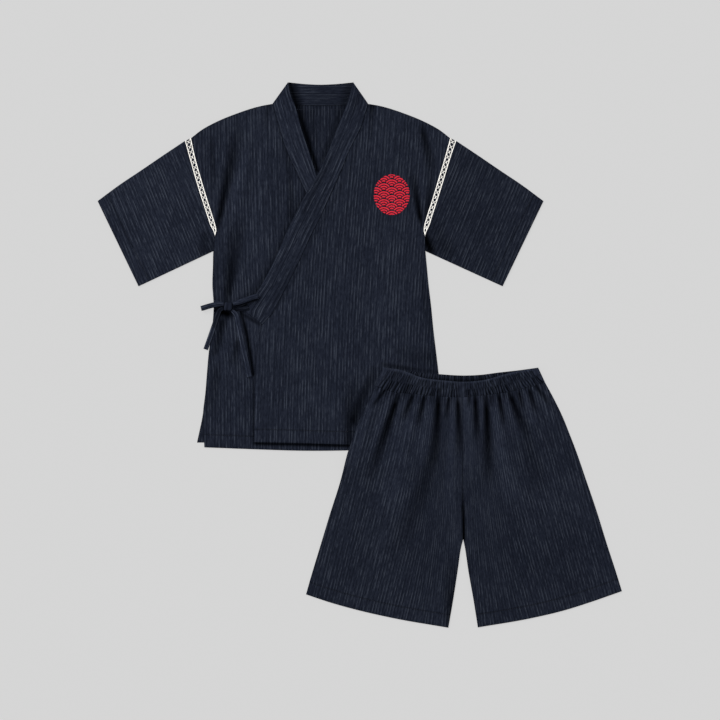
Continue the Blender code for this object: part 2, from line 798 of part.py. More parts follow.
def make_lace(collection, cutters, side):
    """The lace between body and sleeve: a plain back strip under an openwork front one."""
    inner = side_rows(side, ARMHOLE_TOP, ARMHOLE_FOOT, beyond=SEAM)
    outer = lace_outer_edge(side)
    left, right = (outer, inner) if side == "right" else (inner, outer)
    places = patch((left[0], right[0]), (left[-1], right[-1]), left, right, LACE_STEPS)
    sheet(collection, "lace_back_" + side, in_jacket, places, flat(0.0), LACE_WALL, CREAM)
    front = sheet(collection, "lace_front_" + side, in_jacket, places, flat(LACE_LIES), LACE_WALL, CREAM)
    openwork = front.modifiers.new("openwork", "BOOLEAN")
    openwork.operation = "DIFFERENCE"
    openwork.object = diamonds(cutters, side)


def ribbon(collection, name, stops, wide):
    """A tie band along its stops, lying on the cloth or held up by the bow."""
    line = [Stop(*row) for row in smooth_line(stops, BOW_STEPS)]
    middle = []
    for row in line:
        tilt = math.radians(row.tilt)
        low = max(row.rise, cloth_under_bow(row.across, row.down) + ROOM)
        x, y = in_jacket(row.across, row.down)
        middle.append((x, y, low + 0.5 * TIE_WALL + 0.5 * wide * math.sin(tilt)))
    mesh = grid([range(3)] * len(line))
    sides = []
    for k in range(len(line)):
        behind, ahead = middle[max(k - 1, 0)], middle[min(k + 1, len(line) - 1)]
        left = (behind[1] - ahead[1], ahead[0] - behind[0])
        length = math.hypot(*left)
        turning_over = bool(sides) and length < FOLD_SHORT
        left = sides[-1] if turning_over else (left[0] / length, left[1] / length)
        if sides and left[0] * sides[-1][0] + left[1] * sides[-1][1] < 0.0:
            left = (-left[0], -left[1])
        sides.append(left)
    for corner in mesh.verts:
        k = int(corner.co.y)
        off = (0.5 * corner.co.x - 0.5) * wide
        tilt = math.radians(line[k].tilt)
        x = middle[k][0] + sides[k][0] * off * math.cos(tilt)
        y = middle[k][1] + sides[k][1] * off * math.cos(tilt)
        z = middle[k][2] + off * math.sin(tilt)
        corner.co = (x * MM, y * MM, z * MM)
    thicken(put(collection, name, mesh, NAVY), TIE_WALL, offset=0.0)


def make_bow(collection):
    """The knot at the wearer's right side and the stretches of tie band that leave it."""
    low = cloth_under_bow(*KNOT) + ROOM
    x, y = in_jacket(*KNOT)
    mesh = bmesh.new()
    bmesh.ops.create_cube(mesh, size=1.0)
    for corner in mesh.verts:
        corner.co.x = (x + corner.co.x * KNOT_LONG) * MM
        corner.co.y = (y + corner.co.y * KNOT_WIDE) * MM
        corner.co.z = (low + (corner.co.z + 0.5) * KNOT_HIGH) * MM
    knot = put(collection, "tie_knot", mesh, NAVY)
    rounding = knot.modifiers.new("rounding", "BEVEL")
    rounding.width = KNOT_ROUND * MM
    rounding.segments = 3
    ribbon(collection, "tie_strand_body", BODY_STRAND, TIE_WIDE)
    ribbon(collection, "tie_strand_collar", COLLAR_STRAND, LOOP_WIDE)
    ribbon(collection, "tie_loop_body", BODY_LOOP, LOOP_WIDE)
    ribbon(collection, "tie_loop_collar", COLLAR_LOOP, TIE_WIDE)
    ribbon(collection, "tie_tail_body", BODY_TAIL, TIE_WIDE)
    ribbon(collection, "tie_tail_collar", COLLAR_TAIL, TIE_WIDE)


def band_gathers(row, column):
    """Gathers of the front band: a wave along it, with some higher than others."""
    wave = 0.5 + 0.5 * math.cos(2.0 * math.pi * column / FRONT_GATHER_STEPS)
    uneven = 1.0 - GATHER_UNEVEN + GATHER_UNEVEN * math.sin(GATHER_PACE * column)
    return GATHER_HIGH * wave * uneven


def back_band_gathers(row, column):
    """Gathers inside the back band, only on the strip that shows above the front band."""
    return GATHER_HIGH if row == 0 and column % 2 else 0.0


def make_waistband(collection):
    """The elastic channel: its back, and its front lying on it."""
    foot = (*RIGHT_BAND_FOOT, *LEFT_BAND_FOOT[1:])
    front_lies = ELASTIC_WALL + GATHER_HIGH + ROOM
    for name, top, lies, wall, steps, raised in (
        ("waistband_back", BACK_BAND_TOP, 0.0, ELASTIC_WALL, BACK_GATHER_STEPS, back_band_gathers),
        ("waistband_front", BAND_TOP, front_lies, WALL, FRONT_GATHER_STEPS, band_gathers),
    ):

        def height(across, down, lies=lies):
            return table_or_jacket(across, down) + lies

        ends = [(top[k], foot[k]) for k in (0, -1)]
        places = patch(top, foot, *ends, (steps * BAND_GATHERS, BAND_ROWS))
        gathered(collection, name, places, height, wall, raised)


def leg_places(side, size):
    """A leg's places, from the band's foot to the hem."""
    sign = -1.0 if side == "right" else 1.0
    outer = tuple(Spot(sign * getattr(row, side), row.down) for row in LEG_OUTER)
    inner = tuple(Spot(sign * (getattr(row, side) + 0.5 * SEAM), row.down) for row in LEG_INNER)
    band = RIGHT_BAND_FOOT if side == "right" else LEFT_BAND_FOOT
    top = [Spot(spot.across, spot.down + SEAM) for spot in band]
    hem = list(RIGHT_HEM if side == "right" else LEFT_HEM)
    centre = -1 if side == "right" else 0
    top[centre] = Spot(inner[0].across, top[centre].down)
    hem[centre] = inner[-1]
    left, right = (outer, inner) if side == "right" else (inner, outer)
    left = (top[0], *left[1:-1], hem[0])
    right = (top[-1], *right[1:-1], hem[-1])
    return patch(top, hem, left, right, size, crowd=LEG_CROWD)


def make_legs(collection):
    """Each leg's back on the table or the jacket, and its gathered front on that."""
    for side in ("right", "left"):
        places = leg_places(side, LEG_BACK_STEPS)
        sheet(collection, "leg_back_" + side, in_shorts, places, table_or_jacket, WALL)
        places = leg_places(side, LEG_FRONT_STEPS)
        sheet(collection, "leg_front_" + side, in_shorts, places, leg_front_height, WALL)


def main():
    """Clears the file and makes the set, the jacket first."""
    for thing in list(bpy.data.objects):
        bpy.data.objects.remove(thing)
    jinbei = bpy.data.collections.new("jinbei_set")
    cutters = bpy.data.collections.new("cutters")
    for collection in (jinbei, cutters):
        bpy.context.scene.collection.children.link(collection)
    make_back(jinbei)
    make_fronts(jinbei)
    make_collar(jinbei)
    for side in ("right", "left"):
        make_sleeve(jinbei, side)
        make_lace(jinbei, cutters, side)
    make_bow(jinbei)
    make_waistband(jinbei)
    make_legs(jinbei)


main()
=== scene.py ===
"""The looks of a jinbei laid flat: slub-striped navy cotton, lace let in at the armholes, gathered
shorts, the bow at the side, its sewing and an embroidered roundel.

Each garment is drawn in millimetres in its own frame, as it is cut: across from its centre line
(positive to the wearer's left) and down from the top of that line. The tables say where its edges,
creases and grain run, and the functions lay them out as thin closed shells of cloth on the frame.
"""

import math
from collections import namedtuple

import bmesh
import bpy
import numpy as np
from bpy.props import FloatProperty, FloatVectorProperty, PointerProperty
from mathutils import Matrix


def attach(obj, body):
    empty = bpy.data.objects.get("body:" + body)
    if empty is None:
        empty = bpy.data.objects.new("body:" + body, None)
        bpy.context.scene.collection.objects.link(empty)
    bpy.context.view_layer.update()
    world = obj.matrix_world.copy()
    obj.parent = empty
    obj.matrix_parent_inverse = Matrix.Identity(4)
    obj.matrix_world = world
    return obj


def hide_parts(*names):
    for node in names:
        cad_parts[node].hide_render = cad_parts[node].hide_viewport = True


bl_info = {
    "name": "Jinbei laid flat",
    "version": (1, 0, 0),
    "blender": (4, 5, 0),
    "location": "3D View > Sidebar > Jinbei",
    "description": "Makes the cloth, lace, sewing and roundel of a jinbei, piece by piece",
    "category": "Object",
}

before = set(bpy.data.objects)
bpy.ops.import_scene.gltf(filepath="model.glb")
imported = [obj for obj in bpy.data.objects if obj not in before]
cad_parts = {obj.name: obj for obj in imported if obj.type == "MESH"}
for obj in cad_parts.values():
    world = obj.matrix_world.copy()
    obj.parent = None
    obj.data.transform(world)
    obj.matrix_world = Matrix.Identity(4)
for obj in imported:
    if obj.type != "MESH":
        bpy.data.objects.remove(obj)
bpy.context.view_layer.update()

MM = 0.001

# Where each garment lies on the table, and how far the shorts are turned on it.
JACKET_X = -82.25
JACKET_Y = 570.28
SHORTS_X = 213.35
SHORTS_Y = -22.92
SHORTS_TURN = math.radians(0.58)

# Walls of cloth, and the heights at which the layers lie.
WALL = 1.2
BAND_WALL = 1.6
LACE_WALL = 1.0
TIE_WALL = 1.4
ROOM = 0.4
LEG_ROOM = 0.8
SEAM = 0.3
FRONT_LIES = WALL + ROOM
COLLAR_LIES = BAND_WALL + ROOM
LAP_LIES = COLLAR_LIES + BAND_WALL + ROOM
LAP_RAMP = 30.0
STEP_CLEAR = 12.0
STEP_FLAT = 24.0
STEP_RAMP = 48.0
LACE_LIES = 2.2
SLEEVE_HIGH = 3.4

# Soft rise of the cloth away from its edges.
FRONT_LOFT = 1.8
SLEEVE_LOFT = 1.8
LEG_LOFT = 2.4
EDGE_EASE = 70.0
LAP_EASE = 24.0
SEAM_EASE = 34.0

# A cut edge turned in and pressed: how far in it rounds, and how low.
EDGE_ROUND = 1.8
EDGE_LOW = 0.55

Spot = namedtuple("Spot", "across down")
Side = namedtuple("Side", "down right left lace")
Leg = namedtuple("Leg", "down right left")
Lean = namedtuple("Lean", "down right left")
Stop = namedtuple("Stop", "across down rise tilt")
Crease = namedtuple("Crease", "across down long lean wide dark bow", defaults=(1.0,))

# Along a crease, from where it begins: the share of its length, its width and the strength of its painted
# shade.
CREASE_COURSE = ((0.0, 0.5, 0.45), (0.15, 0.8, 1.0), (0.45, 1.1, 0.85), (0.75, 1.35, 0.5), (1.0, 1.5, 0.0))


def folds(*creases):
    """Places along each crease, as (across, down, half-width, dark)."""
    return tuple(
        tuple(
            (c.across + c.lean * way**c.bow, c.down + c.long * way, c.wide * wide, c.dark * dark)
            for way, wide, dark in CREASE_COURSE
        )
        for c in creases
    )


SHOULDER_SLOPE = 0.415
SHOULDER = (
    Spot(101, 43),
    Spot(123, 46),
    Spot(178, 63),
    Spot(219, 80),
    Spot(250, 97),
    Spot(272, 114),
)

# Armhole and side seam, how far out on each side of the wearer, and the lace's width there.
BODY_EDGE = (
    Side(114, 272.0, 272.0, 12.5),
    Side(147, 265.0, 263.0, 12.0),
    Side(200, 250.5, 247.2, 11.6),
    Side(248, 236.0, 232.6, 11.2),
    Side(281, 225.4, 222.0, 11.0),
    Side(298, 220.4, 217.4, 10.2),
    Side(307, 218.8, 216.4, 6.8),
    Side(317, 221.0, 218.6, 0.8),
    Side(349, 225.0, 220.0, 0.0),
    Side(382, 226.0, 223.0, 0.0),
    Side(424, 227.0, 227.0, 0.0),
    Side(466, 224.5, 232.0, 0.0),
    Side(517, 228.0, 237.0, 0.0),
    Side(567, 235.0, 243.0, 0.0),
    Side(601, 238.0, 247.0, 0.0),
    Side(650, 242.0, 252.5, 0.0),
    Side(689, 246.5, 257.0, 0.0),
    Side(765, 244.0, 265.0, 0.0),
)
ARMHOLE_TOP = 114.0
ARMHOLE_FOOT = 317.0
SLIT_TOP = 690.0
BACK_HEM = 753.0
BACK_FLARE = 13.0

UNDER_HEM = (Spot(-244, 763), Spot(-140, 767), Spot(-43, 770), Spot(139, 770.4))
OVER_HEM = (Spot(-140, 751), Spot(-43, 754), Spot(59, 757), Spot(264, 752))

# Collar band, from the shoulder down. The under band crosses beneath the over lap.
UNDER_BAND_INNER = (
    Spot(-68, -4),
    Spot(-64, 19),
    Spot(-52, 49),
    Spot(-40, 94),
    Spot(-24, 143),
    Spot(-8, 191),
    Spot(28, 270),
    Spot(72, 350),
    Spot(124, 425),
    Spot(158, 470),
)
UNDER_BAND_OUTER = (
    Spot(-101, 42),
    Spot(-91, 77),
    Spot(-75, 130),
    Spot(-61, 163),
    Spot(-44, 199),
    Spot(-14, 268),
    Spot(30, 360),
    Spot(78, 445),
    Spot(118, 500),
)
OVER_BAND_INNER = (
    Spot(68, -4),
    Spot(62, 20),
    Spot(50, 56),
    Spot(37, 88),
    Spot(17, 139),
    Spot(-6, 190),
    Spot(-40, 247),
    Spot(-68, 303),
    Spot(-89, 352),
    Spot(-124, 422),
    Spot(-163, 475),
)
OVER_BAND_OUTER = (
    Spot(100, 42),
    Spot(85, 91),
    Spot(63, 134),
    Spot(37, 198),
    Spot(2, 275),
    Spot(-19, 317),
    Spot(-47, 377),
    Spot(-75, 433),
    Spot(-103, 485),
    Spot(-122, 505),
)
LAPS_CROSS_DOWN = 190.0
OVER_FREE_EDGE = (
    Spot(-122, 505),
    Spot(-129, 544),
    Spot(-135, 572),
    Spot(-139, 617),
    Spot(-139, 685),
    Spot(-140, 752),
)
UNDER_FREE_EDGE = (Spot(118, 500), Spot(134, 580), Spot(139, 768))
UNDER_LAP_EDGE = UNDER_BAND_INNER + UNDER_FREE_EDGE
OVER_LAP_EDGE = OVER_BAND_INNER + OVER_FREE_EDGE
NECK_TOP = (Spot(-67, -3.2), Spot(-30, 0.4), Spot(0, 1.6), Spot(30, 0.4), Spot(67, -3.0))
NECK_SEAM = (Spot(-97, 42.4), Spot(0, 45.6), Spot(97, 42.4))
BACK_NECK = Spot(0, 44.2)

SLEEVE_TOP = (Spot(284.5, 121), Spot(326, 147), Spot(376, 181), Spot(425, 214), Spot(468, 246))
SLEEVE_FOOT = Spot(382, 425)
UNDER_ARM = (333.0, 351.0)
LACE_END_SLOPE = 0.45

# Where the shorts' side edge crosses the jacket, at their waist and at the jacket's hem.
SHORTS_CROSS_HIGH = Spot(122, 590)
SHORTS_CROSS_LOW = Spot(62, 768)
PRESSED_MARGIN = 45.0
PRESSED_EASE = 30.0

# Way of the warp: how far across a thread moves for each millimetre down, on each front.
BODY_LEAN = (
    Lean(60, 0.01, -0.06),
    Lean(200, 0.02, -0.09),
    Lean(340, 0.03, -0.08),
    Lean(440, 0.05, -0.06),
    Lean(520, 0.08, -0.045),
    Lean(600, 0.05, -0.035),
    Lean(690, 0.0, -0.025),
)
SLEEVE_LEAN = math.radians(22.0)

# Creases: where each begins, how far down it runs (up, if negative) and strays across, its
# half-width and its darkness, which is painted shade along it; a negative dark is a pale ridge with a
# painted highlight. The cloth sinks along a dark one and rises along a pale one.
UNDER_FOLDS = folds(
    Crease(-219, 312, -240, 50, 14, 0.9),
    Crease(-198, 465, -190, 26, 20, 0.75),
    Crease(-216, 590, 115, -18, 18, 0.35),
    Crease(-172, 535, 60, -12, 10, 0.55),
    Crease(-155, 140, 230, -55, 18, -0.3),
    Crease(-118, 130, 290, -35, 24, -0.15),
    Crease(-195, 505, 130, -14, 14, -0.1),
    Crease(-229, 110, 130, 6, 8, 0.4),
)
OVER_FOLDS = folds(
    Crease(212, 88, 110, 26, 13, 0.75),
    Crease(222, 285, -110, 14, 12, 0.7),
    Crease(212, 298, -125, -22, 11, 0.95),
    Crease(56, 775, -175, 14, 20, 0.65),
    Crease(213, 400, 140, 20, 12, 0.4),
)

# Painted shades and shadows without relief, as places along each: (across, down, half-width, dark);
# a negative dark is a painted highlight.
UNDER_SHADES = (
    ((-110, 46, 10, 0.4), (-117, 88, 10, 0.15)),
    ((-83, 76, 10, 0.1), (-68, 160, 10, 0.3), (-62, 233, 10, 0.35), (-64, 277, 10, 0.4)),
    ((-213, 477, 18, 1), (-194, 483, 16, 1)),
    ((-207, 500, 16, 0.75), (-213, 533, 14, 0.6), (-222, 563, 12, 0.45)),
    ((-167, 479, 6, 0.9), (-156, 521, 7, 0.98), (-149, 559, 7, 0.98), (-141, 611, 6, 0.97)),
    ((-178, 475, 5, 0.95), (-152, 464, 5, 0.97), (-131, 454, 4, 0.85)),
    ((-163, 483, 6, 0.55), (-142, 497, 6, 0.6), (-123, 507, 6, 0.35)),
    ((-188, 472, 10, 0.5), (-178, 487, 10, 0.5)),
    ((-141, 622, 6, 0.3), (-141, 754, 7, 0.45)),
    ((-136, 755, 6, 0.95), (-43, 757, 6, 0.93), (66, 760, 6, 0.95)),
)
OVER_SHADES = (
    ((133, 589, 8, 0.4), (167, 595, 8, 0.6), (209, 601, 7, 0.4), (244, 605, 7, 0.45)),
    ((177, 571, 32, 0.2), (249, 580, 36, 0.38)),
    ((112, 603, 16, 0.3), (100, 630, 16, 0.6), (83, 668, 16, 0.6), (70, 706, 16, 0.7)),
    ((108, 48, 12, 0.75), (106, 71, 10, 0.3), (105, 113, 8, 0.15)),
    ((87, 92, 8, 0.12), (62, 181, 8, 0.2), (3, 290, 8, 0.2), (-79, 454, 8, 0.18)),
    ((-134, 632, 5, -0.2), (-134, 752, 5, -0.24)),
)
NECK_SHADES = (
    ((-62, 4, 20, 0.7), (-50, 44, 20, 0.85), (-38, 84, 14, 0.95), (-24, 128, 11, 0.96), (-6, 184, 7, 0.96)),
    ((61, 10, 20, 0.5), (42, 66, 16, 0.42), (25, 104, 12, 0.38), (4, 160, 8, 0.45)),
    ((-20, 60, 12, 0.25), (-14, 125, 12, 0.2)),
    ((-64, 0, 5, 0.6), (-50, 50, 5, 0.5)),
)
UNDER_BAND_SHADES = (
    ((-87, 34, 8, -0.08), (-66, 118, 8, -0.1)),
    ((-39, 223, 12, 0.15), (-52, 260, 14, 0.4)),
)
OVER_BAND_SHADES = (
    ((54, 50, 6, -0.25), (24, 116, 6, -0.25), (-4, 166, 6, -0.12)),
    ((62, 125, 6, -0.3), (42, 165, 6, -0.3), (26, 208, 6, -0.1)),
    ((-14, 212, 5, -0.2), (-53, 288, 5, -0.25), (-119, 420, 5, -0.25)),
    ((20, 160, 10, 0.2), (-14, 222, 11, 0.35), (-36, 270, 8, 0.25)),
    ((-56, 386, 10, 0.1), (-90, 450, 10, 0.16)),
    ((80, 25, 10, 0.3), (66, 55, 10, 0.15)),
)
SLEEVE_SHADES = (
    ((218, 319, 16, 0.95), (224, 334, 18, 0.97), (230, 349, 18, 0.9)),
    ((242, 296, 24, 0.2), (263, 349, 28, 0.35)),
    ((-241, 319, 18, 0.35), (-247, 351, 18, 0.45)),
    ((-224, 319, 8, 0.3), (-230, 353, 10, 0.5)),
)
FRONT_FOLD_DEEP = 2.6
LEG_FOLD_DEEP = 4.4

# Tie bands and their bow at the wearer's right side: where each band's middle runs, how high its
# lower edge lies where nothing holds it up higher, and its tilt about its run in degrees.
KNOT = Spot(-193.5, 467)
KNOT_LONG = 17.0
KNOT_WIDE = 18.0
KNOT_HIGH = 8.5
TIE_WIDE = 13.0
LOOP_WIDE = 10.0
BOW_MARGIN = 7.0
BODY_STRAND = (Stop(-223, 461, 0, 0), Stop(-213, 462, 0, 0), Stop(-202.8, 464.5, 4.6, 0))
BODY_TAIL = (
    Stop(-203.4, 471, 6.6, 0),
    Stop(-210, 474, 6.4, 0),
    Stop(-215.5, 484, 4.4, 0),
    Stop(-220.5, 499, 0, 0),
    Stop(-227, 518, 0, 0),
    Stop(-234, 538, 0, 0),
    Stop(-241, 557.5, 0, 0),
)
BODY_LOOP = (
    Stop(-202.3, 461.6, 11.2, 0),
    Stop(-216, 462.4, 11.4, 0),
    Stop(-236, 467.0, 9.4, 0),
    Stop(-247.5, 470.6, 7.6, 0),
    Stop(-250.6, 471.6, 6.0, 0),
    Stop(-248, 471.2, 4.4, 0),
    Stop(-236, 467.8, 5.9, 0),
    Stop(-216, 463.4, 8.4, 0),
    Stop(-202.3, 462.6, 8.3, 0),
)
COLLAR_STRAND = (Stop(-150, 470, 6.0, 0), Stop(-166, 472, 6.0, 0), Stop(-182.8, 466.4, 5.0, 0))
COLLAR_TAIL = (
    Stop(-186.5, 475, 5.0, 0),
    Stop(-178.5, 483, 4.0, 0),
    Stop(-172.5, 504, 0, 0),
    Stop(-165.5, 539, 0, 0),
    Stop(-157, 576, 0, 0),
    Stop(-149, 615, 0, 0),
)
COLLAR_LOOP = (
    Stop(-183.0, 462, 10.6, 4),
    Stop(-168, 457.5, 12.4, 8),
    Stop(-148, 450.7, 13.2, 8),
    Stop(-136, 446.8, 13.3, 8),
    Stop(-132.4, 446.2, 12.6, 7),
    Stop(-129.8, 447.4, 10.4, 4),
    Stop(-132.4, 448.8, 8.2, 1),
    Stop(-136, 450.2, 7.9, 0),
    Stop(-148, 454.6, 7.9, -2),
    Stop(-166, 461.6, 7.9, -2),
    Stop(-182.7, 467.4, 7.9, 0),
)

# Shorts: the elastic channel's edges, the side and inner edges of the legs and their hems.
BAND_TOP = (
    Spot(-165, 0),
    Spot(-125, 6.5),
    Spot(-84, 22),
    Spot(-35, 29),
    Spot(7, 32),
    Spot(51, 28),
    Spot(88, 18),
    Spot(120, 10.5),
    Spot(161, 4.5),
)
BACK_BAND_TOP = (
    Spot(-165, 0),
    Spot(-125, 6),
    Spot(-84, 12),
    Spot(-49, 15.4),
    Spot(7, 19),
    Spot(39, 18),
    Spot(78, 13.5),
    Spot(122, 9),
    Spot(161, 4),
)
RIGHT_BAND_FOOT = (Spot(-180, 39), Spot(-159, 48), Spot(-96, 57), Spot(-45, 62.5), Spot(0, 65))
LEFT_BAND_FOOT = (Spot(0, 65), Spot(64, 59), Spot(113, 52), Spot(155, 41), Spot(174, 33))
LEG_OUTER = (
    Leg(36, 178.5, 175.0),
    Leg(73, 198.0, 195.0),
    Leg(114, 217.0, 214.0),
    Leg(140, 227.5, 224.0),
    Leg(173, 239.0, 236.5),
    Leg(240, 257.0, 259.0),
    Leg(307, 279.0, 281.0),
    Leg(374, 300.0, 301.0),
    Leg(441, 321.0, 322.0),
    Leg(475, 331.0, 332.0),
)
LEG_INNER = (
    Leg(65, 0.0, 0.0),
    Leg(287, 0.0, 0.0),
    Leg(362, 0.0, 0.0),
    Leg(377, 4.0, 3.0),
    Leg(427, 12.0, 10.0),
    Leg(494, 23.0, 21.0),
    Leg(548, 33.0, 29.0),
)
HEM_SLOPE = 0.24
RIGHT_HEM = (Spot(-331, 475), Spot(-282, 492), Spot(-223, 509), Spot(-147, 527), Spot(-33, 548))
LEFT_HEM = (Spot(29, 548), Spot(140, 530), Spot(211, 514), Spot(267, 497), Spot(332, 475))
LEG_HEM = 560.0

# Warp of the legs: its greatest lean, and how far from the middle it is reached, by depth.
LEG_LEAN = 0.26
LEG_FAN = ((60, 175.0), (160, 150.0), (300, 130.0), (400, 115.0))


# Gathers that fall from the band, with painted shade in them, and the ridges between them, with
# painted highlights; then the painted shade of the seams.
LEG_GATHERS = folds(
    Crease(-157, 42, 45, -34, 5, 0.9),
    Crease(-130, 50, 190, -68, 13, 0.95),
    Crease(-101, 54, 65, -26, 8, 0.9),
    Crease(-77, 56, 75, -17, 7, 0.85),
    Crease(-49, 56, 160, -16, 12, 0.97, 1.9),
    Crease(-54, 150, 270, -105, 24, 0.45, 1.4),
    Crease(-26, 60, 55, -8, 6, 0.8),
    Crease(-9, 58, 140, 5, 8, 0.93),
    Crease(14, 58, 32, 0, 5, 0.55),
    Crease(28, 60, 105, 5, 8, 0.95),
    Crease(50, 60, 200, 5, 12, 0.97, 0.5),
    Crease(64, 60, 30, -2, 5, 0.5),
    Crease(77, 56, 75, 12, 6, 0.9),
    Crease(99, 54, 105, 42, 12, 0.9),
    Crease(119, 52, 42, 10, 6, 0.75),
    Crease(141, 46, 55, 15, 7, 0.85),
    Crease(151, 38, 48, 38, 7, 0.7),
    Crease(135, 145, 140, 32, 30, 0.25),
    Crease(-26, 560, -170, 14, 28, 0.75),
    Crease(-118, 70, 260, -45, 34, -0.34),
    Crease(-92, 62, 110, -26, 12, -0.3),
    Crease(-64, 62, 150, -32, 17, -0.35),
    Crease(-18, 62, 270, -12, 13, -0.34),
    Crease(11, 56, 190, 4, 18, -0.34),
    Crease(42, 66, 105, 2, 9, -0.34),
    Crease(69, 66, 250, 46, 18, -0.34, 1.5),
    Crease(93, 62, 90, 20, 12, -0.34),
    Crease(-150, 54, 170, -52, 13, -0.3),
    Crease(-172, 46, 190, -68, 13, -0.3, 0.7),
    Crease(131, 54, 80, 22, 10, -0.3),
    Crease(156, 46, 90, 40, 10, -0.2),
)
LEG_SHADES = (
    ((0, 268, 5, 0.3), (0, 297, 6, 0.8), (1, 322, 6, 0.97), (1, 362, 6, 0.99)),
    ((92, 407, 136, 0.06), (193, 408, 136, 0.08)),
)
PUFF_HIGH = 2.6
PUFF_FADE = 70.0

# Gathers of the elastic channel.
BAND_GATHERS = 66
GATHER_HIGH = 2.0
GATHER_STEPS = 7
BAND_LIES = 2.8
CHANNEL_ROWS = 26

BAND_SEAM = 0.05

# Small pleats of the band, as shares of their spacing, and how they run out below it.
PLEAT_NARROW = 0.42
PLEAT_UNEVEN = 0.22
PLEAT_FAINT = 0.6
PLEAT_DEEP = 1.3
PLEAT_RUN = 15.0
PLEATS_CLOSE = 45.0
PLEAT_SPLAY = 420.0
# Painted shade in the pleats and at the stitching; painted light on the channel, its rim and the legs' tops.
PLEAT_DARK = 1.0
CHANNEL_DARK = 0.96
CHANNEL_LIGHT = 1.18
CHANNEL_FALL = 0.1
LEG_TOP_LIGHT = 0.4
CHANNEL_SEWN = 0.22
PLEAT_ENDS = 0.14
PLEAT_LEAN = 0.08
PLEAT_WAVER = 0.0024
MOTTLE = 0.24
RIM_LIGHT = 0.13
SEAM_PLAIN = 9.0
BAND_PLAIN = 5.0

# Creases of the hidden backs, which stay clear of the fronts that lie on them.
LEG_BACK_FOLD = 0.6
BODY_BACK_FOLD = 0.3
BACK_FOLD_FROM = (90.0, 40.0)

# Slubs of the legs and sleeves are this much shorter than the body's.
SLUB_SHORTER = 1.3

# Where in the cloth the legs are cut from.
LEG_WARP = 340.0

MESH_STEP = 4.0
LEG_STEP = 3.0
FRONT_STEP = 3.0
TIE_STEP = 1.6

# Hems: their depth, how far the turned cloth stands proud, and the groove of their sewing.
HEM_DEEP = 27.0
CUFF_DEEP = 25.0
HEM_PROUD = 0.35
SEWN_DEEP = 0.5
SEWN_WIDE = 0.9

# Share of a sleeve's length over which it rises from the armhole and sinks to the cuff.
SLEEVE_RISE = 0.25
SLEEVE_SINK = 0.2

# The neck band stays flat this far out, and rises this much to its ends.
NECK_FLAT = 40.0
NECK_RISE = 1.6

# Cloth drawn up in the channel for each millimetre that shows.
GATHERED = 2.6

# Insertion lace.
RAIL_WIDE = 1.55
BAR_WIDE = 1.15
KNOB_WIDE = 1.75
LACE_PITCH = 10.6
LACE_NARROW = 5.5
RAIL_CORDS = (0.24, 0.72)
CORD_WIDE = RAIL_WIDE * 0.56
ROW_STEP = 1.4
BAR_STEPS = 7
BAR_APART = 0.03
BAR_ARCH = 0.16
KNOB_LONG = 0.8
TAPE_IN = 0.8
TAPE_LIES = 1.25
TAPE_WALL = 0.4

# How far back a tie band turns over, and how long the knot's grip narrows it.
FOLD_TURN = 0.9
GRIP_LONG = 9.0
GRIP = 0.72

# Sewing: the line below the neck and the tack at the foot of the channel.
NECK_STITCH = (Spot(-88, 53), Spot(0, 53.8), Spot(88, 53))
TACK_ACROSS = (5.5, 22.3)
TACK_DOWN = 63.5

# How square a fold's bottom is.
FOLD_FULL = 0.8

# Painted shade and light: how dark cloth is painted at its seams and in the grooves of its hems,
# beside the lap, inside the neck and on the shaded sleeve, and how much lighter it is painted on the
# sleeve, the collar band and the tie bands that are turned to the light.
SEAM_DARK = 0.3
SEAM_SOFT = 1.8
LAP_DARK = 0.5
LAP_SOFT = 8.0
NECK_PAINTED_SHADE = 0.86
SLEEVE_PAINTED_LIGHT = {"right": 1.08, "left": 0.86}
LEG_TONE = 0.89
BAND_PAINTED_LIGHT = {"right": 1.08, "left": 0.97}
BAND_SEAM_DARK = 0.2
NECK_SEAM_DARK = 0.12
HEM_DARK = 0.34
HEM_SOFT = 1.6
LEG_SEAM = 0.03
PATCHY = 0.4
INSIDE_TONE = 1.0
RIBBON_PAINTED_LIGHT = 1.15
RIBBON_SIDE_LIGHT = 0.3
LIT_FROM = (-0.8, 0.6)
UNDER_ARM_LAP = 0.4
BAND_WIDE = 44.0
NECK_FINE = 1.5
BAND_SLANT = 1.18

# Colours.
NAVY = (0.0140, 0.0180, 0.0318)
DARK = (0.0058, 0.0080, 0.0160)
SLUB = (0.052, 0.062, 0.086)
CREAM = (0.97, 0.945, 0.885)
THREAD = (0.020, 0.024, 0.040)
RED = (0.98, 0.016, 0.046)
# Painted glow: the lace thread gives light of its own.
LACE_PAINTED_GLOW = 0.62
FLOOR = (0.12, 0.12, 0.12)
GLOW = (0.568, 0.568, 0.568)

# Stage.
FLOOR_SIZE = 12.0
FLOOR_LOW = -0.0006
CAMERA_OVER = (0.0005, -0.0093)
LAMP_TURN = (math.radians(-32.0), math.radians(-32.0), 0.0)
LAMP_SOFT = math.radians(30.0)

# Where the wrong side of a cloth starts in its own pattern, so that its slubs differ.
WRONG_SIDE = 431.0
ELASTIC_WALL = 1.4


# ---------------------------------------------------------------- measures and lines


def ease(share):
    """0 to 1 with a soft start and finish."""
    share = np.clip(share, 0.0, 1.0)
    return share * share * (3.0 - 2.0 * share)


def reach(stops, down):
    """How far across an edge that runs down the cloth lies, this many millimetres down."""
    return np.interp(down, [stop.down for stop in stops], [stop.across for stop in stops])


def column(rows, name, down):
    """A table's named column at this many millimetres down."""
    return np.interp(down, [row.down for row in rows], [getattr(row, name) for row in rows])


def mirrored(stops):
    """The same stops on the other side of the garment's centre line."""
    return tuple(Spot(-stop.across, stop.down) for stop in stops)


def shifted(stops, across):
    """The same stops this far across."""
    return tuple(Spot(stop.across + across, stop.down) for stop in stops)


def length_of(stops):
    """Length of a line through the stops."""
    return float(np.linalg.norm(np.diff(np.array(stops, float), axis=0), axis=1).sum())


